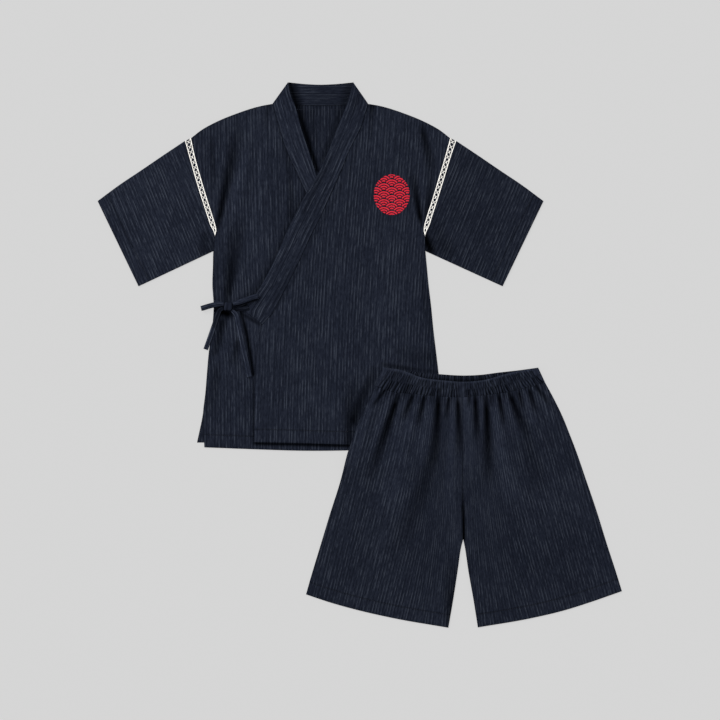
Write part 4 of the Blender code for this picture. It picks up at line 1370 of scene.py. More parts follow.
def front_gathers(u, v, across):
    """Two rows of uneven pleats, that break at the stitching of the elastic and run on into the legs, with
    painted shade in the pleats and along the stitching, and painted light on the band and its rim.
    """
    plain = ease((np.abs(across) - BAND_PLAIN) / BAND_PLAIN)
    upper = 0.85 * pleat_row(u, v, 3, 0.03, 0.56)
    lower = pleat_row(u, v, 7, 0.44, 1.2)
    felt = plain * np.maximum(upper, lower)
    roll = 0.45 * np.exp(-(((v - 0.5) / 0.34) ** 2))
    rise = GATHER_HIGH * (0.3 + 0.7 * ease(v / 0.1)) * (1.0 - felt) + roll
    light = (CHANNEL_LIGHT - CHANNEL_FALL * ease((v - 0.7) / 0.3)) * (0.84 + 0.16 * plain)
    tone = light * (1.0 - CHANNEL_DARK * felt) * (1.0 + RIM_LIGHT * np.exp(-v / 0.05))
    tone = tone * (1.0 - CHANNEL_SEWN * plain * np.exp(-(((v - 0.5) / 0.07) ** 2)))
    tone = tone * (1.0 + MOTTLE * np.sin(211.0 * u + 5.0 * v) * np.sin(137.0 * u - 7.0 * v))
    # Painted shade along the centre seam, with a painted highlight beside it.
    seam = 0.35 * np.exp(-(((across + 8.0) / 3.0) ** 2)) - 0.12 * np.exp(-(((across - 3.0) / 4.0) ** 2))
    return rise, tone * (1.0 - seam)


def back_gathers(u, v, across):
    """Softer gathers inside the back of the channel, with painted shade in them and a painted shadow
    where it shows just above the front.
    """
    felt = pleat_row(u, v, 11, -0.2, 0.6)
    rise = 0.55 * GATHER_HIGH * ease(v / 0.08) * ease((0.6 - v) / 0.2) * (1.0 - felt)
    return rise, INSIDE_TONE * (1.0 - CHANNEL_DARK * felt) * (1.0 - 0.45 * ease((v - 0.1) / 0.15))


def make_waistband(finish):
    """The elastic channel: its back, and its front lying on it."""
    foot = (*RIGHT_BAND_FOOT, *LEFT_BAND_FOOT[1:])
    channel(
        "waistband_back_cloth",
        "waistband_back",
        BACK_BAND_TOP,
        foot,
        0.0,
        ELASTIC_WALL,
        back_gathers,
        finish,
    )
    channel(
        "waistband_front_cloth",
        "waistband_front",
        BAND_TOP,
        foot,
        BAND_LIES,
        WALL,
        front_gathers,
        finish,
    )


# ---------------------------------------------------------------- lace


def cord_along(line, wide, high, around=6):
    """Corners and faces of a thread run along a line of places, closed at both ends."""
    line = np.asarray(line, float)
    ways = np.gradient(line, axis=0)
    ways /= np.linalg.norm(ways, axis=1, keepdims=True)
    sides = np.stack([-ways[:, 1], ways[:, 0], np.zeros(len(line))], axis=-1)
    sides /= np.linalg.norm(sides, axis=1, keepdims=True)
    turn = 2 * math.pi * (np.arange(around) + 0.5) / around
    taper = np.ones(len(line))
    taper[[0, -1]] = 0.55
    ring = 0.5 * wide * np.cos(turn)[None, :, None] * sides[:, None] * taper[:, None, None]
    ring = ring + line[:, None]
    ring[..., 2] += 0.5 * high * np.sin(turn)[None] * taper[:, None]
    corners = ring.reshape(-1, 3)
    ends = np.stack([line[0], line[-1]])
    faces = [list(face) for face in quads(len(line), around, 0, around=True)]
    count = len(corners)
    for k in range(around):
        after = (k + 1) % around
        faces.append([count, k, after])
        faces.append([count + 1, count - around + after, count - around + k])
    return np.concatenate([corners, ends]), faces


def gathered_up(parts):
    """Corners and faces of many small forms as one mesh."""
    corners, faces, start = [], [], 0
    for part, its_faces in parts:
        corners.append(part)
        faces.extend([[int(corner) + start for corner in face] for face in its_faces])
        start += len(part)
    return np.concatenate(corners), faces


def lace_strip(side, low, piece_name, node, finish):
    """One layer of insertion lace: two corded rails, crossing bars between them, and small knots."""
    inner = side_rows(side, ARMHOLE_TOP, ARMHOLE_FOOT, beyond=SEAM)
    outer = lace_outer_edge(side)
    long = length_of(inner)
    count = int(long / ROW_STEP)
    t = np.linspace(0.0, 1.0, count + 1)
    inside, outside = along(inner, t), along(outer, t)
    wide = np.linalg.norm(outside - inside, axis=1)

    def place(share, s, lift):
        """A place at this share across the strip and this share along it."""
        near = np.stack([np.interp(s, t, inside[:, k]) for k in range(2)], axis=-1)
        far = np.stack([np.interp(s, t, outside[:, k]) for k in range(2)], axis=-1)
        spot = near + (far - near) * np.asarray(share)[..., None]
        x, y = in_jacket(spot[..., 0], spot[..., 1])
        return np.stack([x, y, np.full(np.shape(x), lift)], axis=-1)

    parts = []
    middle = low + 0.5 * LACE_WALL
    rail = np.minimum(RAIL_WIDE, 0.46 * wide)
    for edge in (0.0, 1.0):
        for part in RAIL_CORDS:
            off = rail * part / wide
            share = off if edge == 0.0 else 1.0 - off
            line = place(share, t, middle)
            parts.append(cord_along(line, CORD_WIDE, LACE_WALL * 0.96))
    units = int(long / LACE_PITCH)
    for k in range(units):
        for way in (0, 1):
            s = np.linspace((k + way) / units, (k + 1 - way) / units, BAR_STEPS)
            here = np.interp(s, t, wide)
            if here.min() < LACE_NARROW:
                continue
            inset = np.interp(s, t, rail) * 0.8 / here
            share = inset + (1 - 2 * inset) * np.linspace(0.0, 1.0, BAR_STEPS)
            arch = BAR_APART + BAR_ARCH * np.sin(np.linspace(0, math.pi, BAR_STEPS))
            line = place(share, s, 0.0)
            line[:, 2] = middle + (arch if way else -arch)
            parts.append(cord_along(line, BAR_WIDE, 0.6 * LACE_WALL, around=6))
        s = np.array([(k + 0.5) / units])
        if np.interp(s, t, wide)[0] < LACE_NARROW:
            continue
        knot = place(np.array([0.5]), s, middle)[0]
        ball = np.linspace(-1.0, 1.0, 5)
        line = np.stack([knot + np.array([0.0, 1.0, 0.0]) * KNOB_LONG * step for step in ball])
        parts.append(cord_along(line, KNOB_WIDE, 0.8 * LACE_WALL, around=8))
    corners, faces = gathered_up(parts)
    piece = show(piece_name, corners, faces, corners[:, :2], finish)
    stands_for(node)


def make_lace(side, cream, navy):
    """Back and front insertion lace of one armhole, with the seam allowance between them: a navy tape
    as wide as the lace, which is also a dark sheet that stands for the shade seen through its holes.
    """
    lace_strip(side, 0.0, f"lace_back_{side}_lace", "lace_back_" + side, cream)
    inner = side_rows(side, ARMHOLE_TOP, ARMHOLE_FOOT, beyond=SEAM + TAPE_IN)
    inward_by = -TAPE_IN if side == "left" else TAPE_IN
    outer = tuple(Spot(spot.across + inward_by, spot.down) for spot in lace_outer_edge(side))
    left, right = (outer, inner) if side == "right" else (inner, outer)
    places = panel((left[0], right[0]), (left[-1], right[-1]), left, right, step=3.0)
    tape = lay(
        f"lace_backing_{side}", in_jacket, places, level(TAPE_LIES), TAPE_WALL, straight_grain, navy
    )
    lace_strip(
        side, LACE_LIES, f"lace_front_{side}_lace", "lace_front_" + side, cream
    )


# ---------------------------------------------------------------- tie bands and their bow


def ribbon_frame(stops, wide):
    """Middle line of a tie band and the way across it, laid on the cloth or held up by the bow."""
    count = max(int(length_of([stop[:2] for stop in stops]) / TIE_STEP), 12)
    line = along(stops, np.linspace(0.0, 1.0, count + 1))
    across, down, rise, tilt = line.T
    tilt = np.radians(tilt)
    low = np.maximum(rise, cloth_under_bow(across, down) + ROOM)
    x, y = in_jacket(across, down)
    middle = np.stack([x, y, low + 0.5 * TIE_WALL + 0.5 * wide * np.sin(np.abs(tilt))], axis=-1)
    ways = np.empty((count + 1, 2))
    last = None
    for k in range(count + 1):
        behind, ahead = middle[max(k - 1, 0)], middle[min(k + 1, count)]
        left = np.array([behind[1] - ahead[1], ahead[0] - behind[0]])
        long = float(np.hypot(*left))
        left = last if last is not None and long < FOLD_TURN * TIE_STEP else left / max(long, 1e-6)
        if last is not None and float(left @ last) < 0.0:
            left = -left
        ways[k] = last = left
    for _ in range(4):
        ways[1:-1] = 0.25 * ways[:-2] + 0.5 * ways[1:-1] + 0.25 * ways[2:]
        ways /= np.linalg.norm(ways, axis=1, keepdims=True)
    side = np.stack([ways[:, 0] * np.cos(tilt), ways[:, 1] * np.cos(tilt), np.sin(tilt)], axis=-1)
    return middle, side


def make_ribbon(name, stops, wide, finish, pinch=(1.0, 1.0), painted_light=(1.0, 1.0)):
    """A stretch of tie band: pressed double cloth with stitched edges, narrowed where the knot grips it."""
    middle, side = ribbon_frame(stops, wide)
    run = np.gradient(middle, axis=0)
    run /= np.linalg.norm(run, axis=1, keepdims=True)
    normal = np.cross(side, run)
    normal /= np.linalg.norm(normal, axis=1, keepdims=True)
    steps = np.concatenate([[0.0], np.cumsum(np.linalg.norm(np.diff(middle, axis=0), axis=1))])
    shrink = 1.0 - (1.0 - pinch[0]) * np.exp(-((steps / GRIP_LONG) ** 2))
    shrink = shrink * (1.0 - (1.0 - pinch[1]) * np.exp(-(((steps[-1] - steps) / GRIP_LONG) ** 2)))
    off = np.array([-1.0, -0.93, -0.8, -0.6, -0.3, 0.0, 0.3, 0.6, 0.8, 0.93, 1.0])
    wall = TIE_WALL * np.array([0.5, 0.86, 1.0, 0.94, 0.97, 1.0, 0.97, 0.94, 1.0, 0.86, 0.5])
    ends = np.minimum(steps, steps[-1] - steps)
    wall = wall[None] * (0.6 + 0.4 * ease(ends / 1.2))[:, None]
    places = middle[:, None] + side[:, None] * (0.5 * wide * off[None, :, None] * shrink[:, None, None])
    crease = (1.0 - shrink)[:, None] * 1.4 * np.cos(3.0 * math.pi * off)[None]
    outer = places + normal[:, None] * (0.5 * wall + crease)[..., None]
    inner = places - normal[:, None] * (0.5 * wall - 0.5 * crease)[..., None]
    corners, faces = shell(outer, inner)
    uv = np.stack(np.broadcast_arrays(0.5 * wide * off[None], steps[:, None]), axis=-1).reshape(-1, 2)
    uv = uv + np.array([float(np.sum(middle[0, :2])), 0.0])
    # Painted light: each stretch is lighter on the side turned to LIT_FROM and darker on the other, and
    # painted shade darkens it from start to end where it lies under the loop and the knot.
    lit = off[None] * (side[:, :2] @ np.array(LIT_FROM))[:, None]
    later = ease((steps / steps[-1] - 0.45) / 0.1)[:, None]
    painted_light = painted_light[0] + (painted_light[1] - painted_light[0]) * later
    tone = np.stack([painted_light * (RIBBON_PAINTED_LIGHT + RIBBON_SIDE_LIGHT * lit)] * 2)
    both = np.concatenate([uv, uv + WRONG_SIDE])
    piece = show(name + "_cloth", corners, faces, both, finish, tone)
    stands_for(name)


def make_knot(finish):
    """The knot: the band wrapped once round the others, with the tucks that it pulls into itself."""
    low = float(cloth_under_bow(*KNOT)) + ROOM
    x, y = in_jacket(*KNOT)
    around, along_knot = 56, 30
    turn = 2 * math.pi * np.arange(around) / around
    v = np.linspace(-1.0, 1.0, along_knot + 1)
    cos, sin = np.cos(turn), np.sin(turn)
    squarish = (np.abs(cos) ** 3 + np.abs(sin) ** 3) ** (-1.0 / 3.0)
    closing = np.clip(1.0 - np.abs(v) ** 5, 0.02, 1.0) ** 0.4
    across = 0.5 * KNOT_LONG * v[:, None] * np.ones(around)
    deep = 0.5 * KNOT_WIDE * (cos * squarish)[None] * closing[:, None]
    high = 0.5 * KNOT_HIGH * (sin * squarish)[None] * closing[:, None]
    tuck = np.exp(-(((v[:, None] - 0.36 * cos[None] - 0.1) / 0.13) ** 2))
    tuck += 0.7 * np.exp(-(((v[:, None] + 0.5 + 0.2 * cos[None]) / 0.1) ** 2))
    waist = 1.0 - 0.07 * np.cos(math.pi * v)[:, None] * np.abs(cos)[None]
    high = high * (1.0 - 0.12 * tuck)
    deep = deep * waist * (1.0 - 0.06 * tuck)
    lean = 0.10 * deep
    grid = np.stack([x + across + lean, y + deep, low + 0.5 * KNOT_HIGH + high], axis=-1)
    corners = grid.reshape(-1, 3)
    faces = [list(face) for face in quads(along_knot + 1, around, 0, around=True)]
    faces.append(list(range(around)))
    faces.append(list(range(len(corners) - around, len(corners)))[::-1])
    uv = np.stack(np.broadcast_arrays(0.3 * across, 3.0 * turn[None]), axis=-1).reshape(-1, 2)
    piece = show("tie_knot_cloth", corners, faces, uv, finish)
    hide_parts("tie_knot")


def make_bow(finish):
    """The knot at the wearer's right side and the stretches of tie band that leave it."""
    make_knot(finish)
    on_front = ["front_right_under_cloth"]
    # The last column is the painted light of each stretch at its start and at its end, low where it lies in
    # shade.
    bands = (
        ("tie_strand_body", BODY_STRAND, 0.021, ["floor"], (1.0, GRIP), (1.0, 0.8)),
        ("tie_strand_collar", COLLAR_STRAND, 0.034, ["collar_left_cloth"], (1.0, GRIP), (0.4, 0.4)),
        ("tie_loop_body", BODY_LOOP, 0.095, on_front, (GRIP, GRIP), (1.0, 0.7)),
        ("tie_loop_collar", COLLAR_LOOP, 0.112, on_front, (GRIP, GRIP), (1.1, 0.25)),
        ("tie_tail_body", BODY_TAIL, 0.098, ["floor", *on_front], (GRIP, 1.0), (0.5, 1.05)),
        ("tie_tail_collar", COLLAR_TAIL, 0.142, on_front, (GRIP, 1.0), (1.1, 1.1)),
    )
    for name, stops, long, rests_on, pinch, painted_light in bands:
        wide = TIE_WIDE if name == "tie_strand_body" else LOOP_WIDE
        make_ribbon(name, stops, wide, finish, pinch, painted_light)


# ---------------------------------------------------------------- sewing and embroidery


def over_surface(line, height, garment, wall, lift=0.15):
    """A line of the garment's own places as corners on top of its cloth."""
    across, down = line[:, 0], line[:, 1]
    x, y = garment(across, down)
    return np.stack([x, y, height(across, down) + wall + lift], axis=-1)


def stitches(line, long, gap, thread):
    """A run of stitches along a line of places on the cloth."""
    spans = np.concatenate([[0.0], np.cumsum(np.linalg.norm(np.diff(line, axis=0), axis=1))])
    parts = []
    for k in range(int(spans[-1] / (long + gap))):
        at = k * (long + gap) + np.array([0.0, 0.18, 0.5, 0.82, 1.0]) * long
        spots = np.stack([np.interp(at, spans, line[:, axis]) for axis in range(3)], axis=-1)
        spots[:, 2] += np.array([-0.25, 0.05, 0.12, 0.05, -0.25]) * thread
        parts.append(cord_along(spots, thread, 0.8 * thread, around=5))
    return parts


def up_from(hem, deep):
    """The line that runs this far up from a hem."""
    line = along(hem, np.linspace(0.0, 1.0, 160))
    ways = np.gradient(line, axis=0)
    ways /= np.linalg.norm(ways, axis=1, keepdims=True)
    square = np.stack([ways[:, 1], -ways[:, 0]], axis=-1)
    square[square[:, 1] > 0.0] *= -1.0
    return line + square * deep


def make_sewing(finish, settings):
    """The hem, cuff and neck stitching and the tack at the front of the channel, as one piece."""
    long, gap, thread = (value / MM for value in (settings.stitch, settings.gap, settings.thread))
    parts = []

    def run(line, height, garment, wall=WALL, lift=0.0):
        parts.extend(stitches(over_surface(line, height, garment, wall, lift), long, gap, thread))

    line = up_from(UNDER_HEM, HEM_DEEP)
    run(line[(line[:, 0] < -143) & (line[:, 0] > -238)], under_front_height, in_jacket)
    line = up_from(OVER_HEM, HEM_DEEP)
    run(line[(line[:, 0] > -136) & (line[:, 0] < 62)], over_front_height, in_jacket)
    for hem in (RIGHT_HEM, LEFT_HEM):
        line = up_from(hem, HEM_DEEP)
        run(line[3:-3], leg_front_height, in_shorts)
    for sign in (-1.0, 1.0):
        top, foot = SLEEVE_TOP[-1], SLEEVE_FOOT
        way = np.array([foot.across - top.across, foot.down - top.down]) / math.dist(top, foot)
        square = np.array([-way[1], way[0]]) * (1.0 if -way[1] < 0 else -1.0)
        start = np.array(top) + square * CUFF_DEEP + way * 4.0
        finish_at = np.array(foot) + square * CUFF_DEEP - way * 4.0
        line = start + (finish_at - start) * np.linspace(0.0, 1.0, 90)[:, None]
        line[:, 0] *= sign
        run(line, level(SLEEVE_HIGH + 0.4), in_jacket, wall=0.0)
    line = along(NECK_STITCH, np.linspace(0.0, 1.0, 90))
    run(line, level(WALL), in_jacket, wall=0.0, lift=0.1)
    tack = np.stack([np.linspace(*TACK_ACROSS, 30), np.full(30, TACK_DOWN)], axis=-1)
    for off in (0.0, 2.2):
        low = table_or_jacket(tack[:, 0], tack[:, 1]) + BAND_LIES + WALL + 0.9
        x, y = in_shorts(tack[:, 0], tack[:, 1] - off)
        parts.extend(stitches(np.stack([x, y, low], axis=-1), long, 0.3 * gap, thread))

    corners, faces = gathered_up(parts)
    piece = show("hem_and_neck_stitching", corners, faces, corners[:, :2], finish)


def wave_bands(half_wide, half_high, settings):
    """Middle lines of an overlapping wave pattern's bands that reach inside an oval."""
    radius, pitch = settings.wave / MM, (settings.band + settings.gap) / MM
    rings = int(radius / pitch)
    lines = []
    rows = int(half_high / (0.5 * radius)) + 3
    columns = int(half_wide / radius) + 3
    angles = np.radians(np.arange(-8.0, 188.1, 3.0))
    for row in range(-rows, rows + 1):
        for k in range(-columns, columns + 1):
            middle = np.array([(2 * k + (row % 2)) * radius, row * 0.5 * radius])
            for ring in range(rings):
                reach_out = radius - pitch * (ring + 0.5)
                if reach_out < 0.35 * pitch:
                    continue
                arc = middle + reach_out * np.stack([np.cos(angles), np.sin(angles)], axis=-1)
                nearest = np.full(len(arc), np.inf)
                for edge in (-0.5, 0.5):
                    side = middle + (arc - middle) * (1.0 + edge * settings.band / MM / reach_out)
                    nearest = np.minimum(nearest, np.hypot(side[:, 0] / half_wide, side[:, 1] / half_high))
                shown = nearest < 1.0
                for step in ((-radius, -0.5 * radius), (radius, -0.5 * radius), (0.0, -radius)):
                    shown &= np.linalg.norm(arc - middle - np.array(step), axis=1) > radius + 0.2 * pitch
                run = []
                for spot, keep in zip(arc, shown):
                    if keep:
                        run.append(spot)
                    if run and not keep:
                        lines.append(np.array(run))
                        run = []
                if run:
                    lines.append(np.array(run))
    return [line for line in lines if len(line) > 2]


def make_roundel(finish, settings):
    """The embroidered roundel: satin-stitched bands of a wave pattern inside an oval."""
    wide = settings.band / MM
    parts, grain = [], []
    half_wide, half_high = 0.5 * settings.wide / MM, 0.5 * settings.high / MM
    off = np.array([-1.0, -0.86, -0.5, 0.0, 0.5, 0.86, 1.0])
    bulge = np.array([0.0, 0.42, 0.85, 1.0, 0.85, 0.42, 0.0])
    for line in wave_bands(half_wide, half_high, settings):
        ways = np.gradient(line, axis=0)
        ways /= np.linalg.norm(ways, axis=1, keepdims=True)
        square = np.stack([-ways[:, 1], ways[:, 0]], axis=-1)
        spots = line[:, None] + square[:, None] * (0.5 * wide * off[None, :, None])
        out = np.hypot(spots[..., 0] / half_wide, spots[..., 1] / half_high)
        spots = spots / np.maximum(out, 1.0)[..., None]
        across = settings.across / MM + spots[..., 0]
        down = settings.down / MM - spots[..., 1]
        x, y = in_jacket(across, down)
        cloth = over_front_height(across, down) + WALL
        ends = np.ones(len(line))
        ends[[0, -1]] = 0.35
        high = cloth + 0.1 + settings.raised / MM * bulge[None] * ends[:, None]
        outer = np.stack([x, y, high], axis=-1)
        inner = np.stack([x, y, cloth - 0.1], axis=-1)
        corners, faces = shell(outer, inner)
        run = np.concatenate([[0.0], np.cumsum(np.linalg.norm(np.diff(line, axis=0), axis=1))])
        uv = np.stack(np.broadcast_arrays(0.5 * wide * off[None], run[:, None]), axis=-1).reshape(-1, 2)
        parts.append((corners, faces))
        grain.append(np.concatenate([uv, uv]))
    corners, faces = gathered_up(parts)
    piece = show("wave_roundel", corners, faces, np.concatenate(grain), finish)


# ---------------------------------------------------------------- finishes


def wire(tree, kind, *inputs, **settings):
    """A node with its settings, whose inputs are given as numbers, colours or other nodes' sockets."""
    node = tree.nodes.new(kind)
    for name, value in settings.items():
        setattr(node, name, value)
    for socket, value in zip(node.inputs, inputs):
        if isinstance(value, bpy.types.NodeSocket):
            tree.links.new(value, socket)
        elif value is not None:
            socket.default_value = value
    return node


def maths(tree, operation, *inputs, clamp=False):
    """The result of one sum in a material."""
    return wire(tree, "ShaderNodeMath", *inputs, operation=operation, use_clamp=clamp).outputs[0]


def span(tree, value, low, high, to_low=0.0, to_high=1.0):
    """A value spread smoothly from one range on to another."""
    kind = "ShaderNodeMapRange"
    return wire(tree, kind, value, low, high, to_low, to_high, interpolation_type="SMOOTHSTEP").outputs[0]


def place_of(tree, u, v, w=0.0):
    """Three numbers as one place."""
    return wire(tree, "ShaderNodeCombineXYZ", u, v, w).outputs[0]


def cloudy(tree, place, detail=2.0, rough=0.5, size=1.0):
    """Smooth noise over a place."""
    node = wire(tree, "ShaderNodeTexNoise", noise_dimensions="3D")
    tree.links.new(place, node.inputs["Vector"])
    node.inputs["Scale"].default_value = size
    node.inputs["Detail"].default_value = detail
    node.inputs["Roughness"].default_value = rough
    return node.outputs[0]


def patchy(tree, u, v, across, down, *detail):
    """Clouds so many to a metre across and down."""
    place = place_of(tree, maths(tree, "MULTIPLY", u, across), maths(tree, "MULTIPLY", v, down))
    return cloudy(tree, place, *detail)


def blank_finish(name):
    """A material with its shader and an empty board to wire, and the two numbers of the grain map."""
    finish = bpy.data.materials.new(name)
    finish.use_nodes = True
    tree = finish.node_tree
    shader = tree.nodes["Principled BSDF"]
    grain = wire(tree, "ShaderNodeUVMap", uv_map="grain").outputs[0]
    apart = wire(tree, "ShaderNodeSeparateXYZ", grain)
    return finish, tree, shader, apart.outputs[0], apart.outputs[1]


def slub_rows(tree, u, v, pitch, core, long, seed, low, high):
    """Thick places in every so many warp threads: how much of one lies here, 0 to 1."""
    at = maths(tree, "ADD", maths(tree, "DIVIDE", u, pitch), seed)
    thread = maths(tree, "FLOOR", at)
    chance = wire(tree, "ShaderNodeTexWhiteNoise", noise_dimensions="1D")
    tree.links.new(thread, chance.inputs["W"])
    middle = maths(tree, "MULTIPLY_ADD", chance.outputs[0], 0.46, 0.27)
    off = maths(tree, "ABSOLUTE", maths(tree, "SUBTRACT", maths(tree, "FRACT", at), middle))
    off = maths(tree, "MULTIPLY", off, pitch)
    body = span(tree, off, 0.3 * core, 1.1 * core, 1.0, 0.0)
    place = place_of(tree, maths(tree, "MULTIPLY", thread, 5.37), maths(tree, "DIVIDE", v, long), seed)
    patch = patchy(tree, u, v, 38.0, 15.0, 1.0)
    swell = maths(tree, "MULTIPLY_ADD", patch, PATCHY, cloudy(tree, place, 3.0, 0.55))
    thick = span(tree, swell, low + 0.5 * PATCHY, high + 0.5 * PATCHY)
    return maths(tree, "MULTIPLY", body, thick)


def slub_cotton(name, settings):
    """Navy cotton with a slub stripe: paler thick places in the warp, over a dark uneven ground."""
    finish, tree, shader, u, v = blank_finish(name)
    drift = patchy(tree, u, v, 30.0, 9.0, 1.0)
    drift = maths(tree, "MULTIPLY_ADD", drift, settings.drift, -0.5 * settings.drift)
    u = maths(tree, "ADD", u, drift)
    pitch, long = settings.pitch, settings.long
    main = slub_rows(tree, u, v, pitch, 0.5 * settings.core, long, 0.0, 0.38, 0.68)
    fine = slub_rows(tree, u, v, pitch, 0.36 * settings.core, 0.7 * long, 0.36, 0.45, 0.72)
    shade = slub_rows(tree, u, v, pitch, 0.55 * settings.core, 1.2 * long, 0.66, 0.30, 0.62)
    ground = cloudy(
        tree, place_of(tree, maths(tree, "MULTIPLY", u, 420.0), maths(tree, "MULTIPLY", v, 90.0)), 3.0, 0.6
    )
    broad = patchy(tree, u, v, 11.0, 7.0, 2.0)
    tone = maths(tree, "MULTIPLY_ADD", main, 0.76, 0.215)
    tone = maths(tree, "MULTIPLY_ADD", fine, 0.34, tone)
    tone = maths(tree, "MULTIPLY_ADD", shade, -0.30, tone)
    tone = maths(tree, "ADD", tone, span(tree, ground, 0.3, 0.7, -0.13, 0.13))
    tone = maths(tree, "ADD", tone, span(tree, broad, 0.3, 0.7, -0.05, 0.05))
    ramp = wire(tree, "ShaderNodeValToRGB", tone)
    stops = ramp.color_ramp.elements
    stops[0].position, stops[0].color = 0.0, (*settings.dark, 1.0)
    stops[1].position, stops[1].color = 1.0, (*settings.slub, 1.0)
    middle = stops.new(0.26)
    middle.color = (*settings.navy, 1.0)
    # Painted light and shade of each piece, from its attribute shade: it scales the colour and the gloss.
    depth = wire(tree, "ShaderNodeAttribute", attribute_type="GEOMETRY", attribute_name="shade")
    shaded = wire(tree, "ShaderNodeVectorMath", ramp.outputs[0], operation="SCALE")
    tree.links.new(depth.outputs["Fac"], shaded.inputs["Scale"])
    tree.links.new(shaded.outputs[0], shader.inputs["Base Color"])
    yarn = maths(tree, "SINE", maths(tree, "MULTIPLY", u, 2 * math.pi / settings.yarn))
    weft = maths(tree, "SINE", maths(tree, "MULTIPLY", v, 2 * math.pi / settings.yarn))
    weave = maths(tree, "MULTIPLY", maths(tree, "MULTIPLY", yarn, weft), 0.12)
    height = maths(tree, "MULTIPLY_ADD", main, 0.9, weave)
    height = maths(tree, "ADD", height, maths(tree, "MULTIPLY", ground, 0.8))
    bump = wire(tree, "ShaderNodeBump")
    bump.inputs["Strength"].default_value = 0.35
    bump.inputs["Distance"].default_value = 0.0003
    tree.links.new(height, bump.inputs["Height"])
    tree.links.new(bump.outputs[0], shader.inputs["Normal"])
    shader.inputs["Roughness"].default_value = 0.9
    gloss = maths(tree, "MULTIPLY", depth.outputs["Fac"], 0.10)
    tree.links.new(gloss, shader.inputs["Specular IOR Level"])
    return finish


def cotton_lace(settings):
    """Cream cotton thread, twisted, with painted shade between its strands and a painted glow of its own
    colour.
    """
    finish, tree, shader, u, v = blank_finish("cream_lace_cotton")
    both = maths(tree, "ADD", u, v)
    strand = maths(tree, "SINE", maths(tree, "MULTIPLY", both, 2 * math.pi / settings.twist))
    blotch = patchy(tree, u, v, 160.0, 160.0)
    tone = maths(tree, "MULTIPLY_ADD", strand, 0.12, maths(tree, "MULTIPLY", blotch, 1.0))
    ramp = wire(tree, "ShaderNodeValToRGB", tone)
    stops = ramp.color_ramp.elements
    stops[0].position, stops[0].color = 0.25, (*(0.62 * c for c in settings.cream), 1.0)
    stops[1].position, stops[1].color = 0.65, (*settings.cream, 1.0)
    tree.links.new(ramp.outputs[0], shader.inputs["Base Color"])
    bump = wire(tree, "ShaderNodeBump")
    bump.inputs["Strength"].default_value = 0.4
    bump.inputs["Distance"].default_value = 0.0002
    tree.links.new(strand, bump.inputs["Height"])
    tree.links.new(bump.outputs[0], shader.inputs["Normal"])
    shader.inputs["Roughness"].default_value = 0.8
    shader.inputs["Specular IOR Level"].default_value = 0.2
    # Painted glow: the thread gives light of its own colour, as if more brightly lit.
    tree.links.new(ramp.outputs[0], shader.inputs["Emission Color"])
    shader.inputs["Emission Strength"].default_value = LACE_PAINTED_GLOW
    return finish


def satin_thread(name, colour, thread, shine):
    """Embroidery or sewing thread laid side by side across its band, with a painted highlight where each
    thread turns up.
    """
    finish, tree, shader, u, v = blank_finish(name)
    wobble = patchy(tree, u, v, 300.0, 900.0)
    along_band = maths(tree, "MULTIPLY_ADD", wobble, 0.0006, v)
    lay_of = maths(tree, "SINE", maths(tree, "MULTIPLY", along_band, 2 * math.pi / thread))
    tone = maths(tree, "MULTIPLY_ADD", wobble, 1.6, maths(tree, "MULTIPLY", lay_of, 0.25))
    tone = span(tree, tone, 0.3, 1.3)
    ramp = wire(tree, "ShaderNodeValToRGB", tone)
    stops = ramp.color_ramp.elements
    stops[0].position, stops[0].color = 0.0, (*(0.68 * c for c in colour), 1.0)
    stops[1].position, stops[1].color = 1.0, (*(min(1.15 * c, 1.0) for c in colour), 1.0)
    tree.links.new(ramp.outputs[0], shader.inputs["Base Color"])
    bump = wire(tree, "ShaderNodeBump")
    bump.inputs["Strength"].default_value = 0.4
    bump.inputs["Distance"].default_value = 0.0002
    tree.links.new(lay_of, bump.inputs["Height"])
    tree.links.new(bump.outputs[0], shader.inputs["Normal"])
    shader.inputs["Roughness"].default_value = shine
    shader.inputs["Specular IOR Level"].default_value = 0.3
    return finish


def light_table(name, colour, glow):
    """The floor: matt and lit from below, so that hardly a shadow falls on it."""
    finish = bpy.data.materials.new(name)
    finish.use_nodes = True
    shader = finish.node_tree.nodes["Principled BSDF"]
    shader.inputs["Base Color"].default_value = (*colour, 1.0)
    shader.inputs["Emission Color"].default_value = (*glow, 1.0)
    shader.inputs["Emission Strength"].default_value = 1.0
    shader.inputs["Roughness"].default_value = 1.0
    shader.inputs["Specular IOR Level"].default_value = 0.0
    return finish


def finish_named(name, make):
    """The finish of this name, made the first time that a piece asks for it."""
    return bpy.data.materials.get(name) or make()


def navy_cotton(context):
    """The set's cloth."""
    cloth = context.scene.jinbei_cloth
    return finish_named("navy_slub_cotton", lambda: slub_cotton("navy_slub_cotton", cloth))


# ---------------------------------------------------------------- what a user would change


class ClothSettings(bpy.types.PropertyGroup):
    """The cotton's colours and its slub stripe."""

    navy: FloatVectorProperty(
        name="Navy", description="Ground colour of the cloth", subtype="COLOR", size=3, default=NAVY
    )
    dark: FloatVectorProperty(
        name="Dark", description="Colour between the threads", subtype="COLOR", size=3, default=DARK
    )
    slub: FloatVectorProperty(
        name="Slub", description="Colour of the thick places", subtype="COLOR", size=3, default=SLUB
    )
    pitch: FloatProperty(
        name="Pitch", description="From one slub thread to the next", subtype="DISTANCE", default=0.0063
    )
    core: FloatProperty(
        name="Core", description="Width of a slub thread", subtype="DISTANCE", default=0.0019
    )
    long: FloatProperty(
        name="Length", description="Length over which a slub swells", subtype="DISTANCE", default=0.034
    )
    drift: FloatProperty(
        name="Drift", description="How far a thread strays sideways", subtype="DISTANCE", default=0.0016
    )
    yarn: FloatProperty(
        name="Yarn",
        description="From one thread of the weave to the next",
        subtype="DISTANCE",
        default=0.0008,
    )


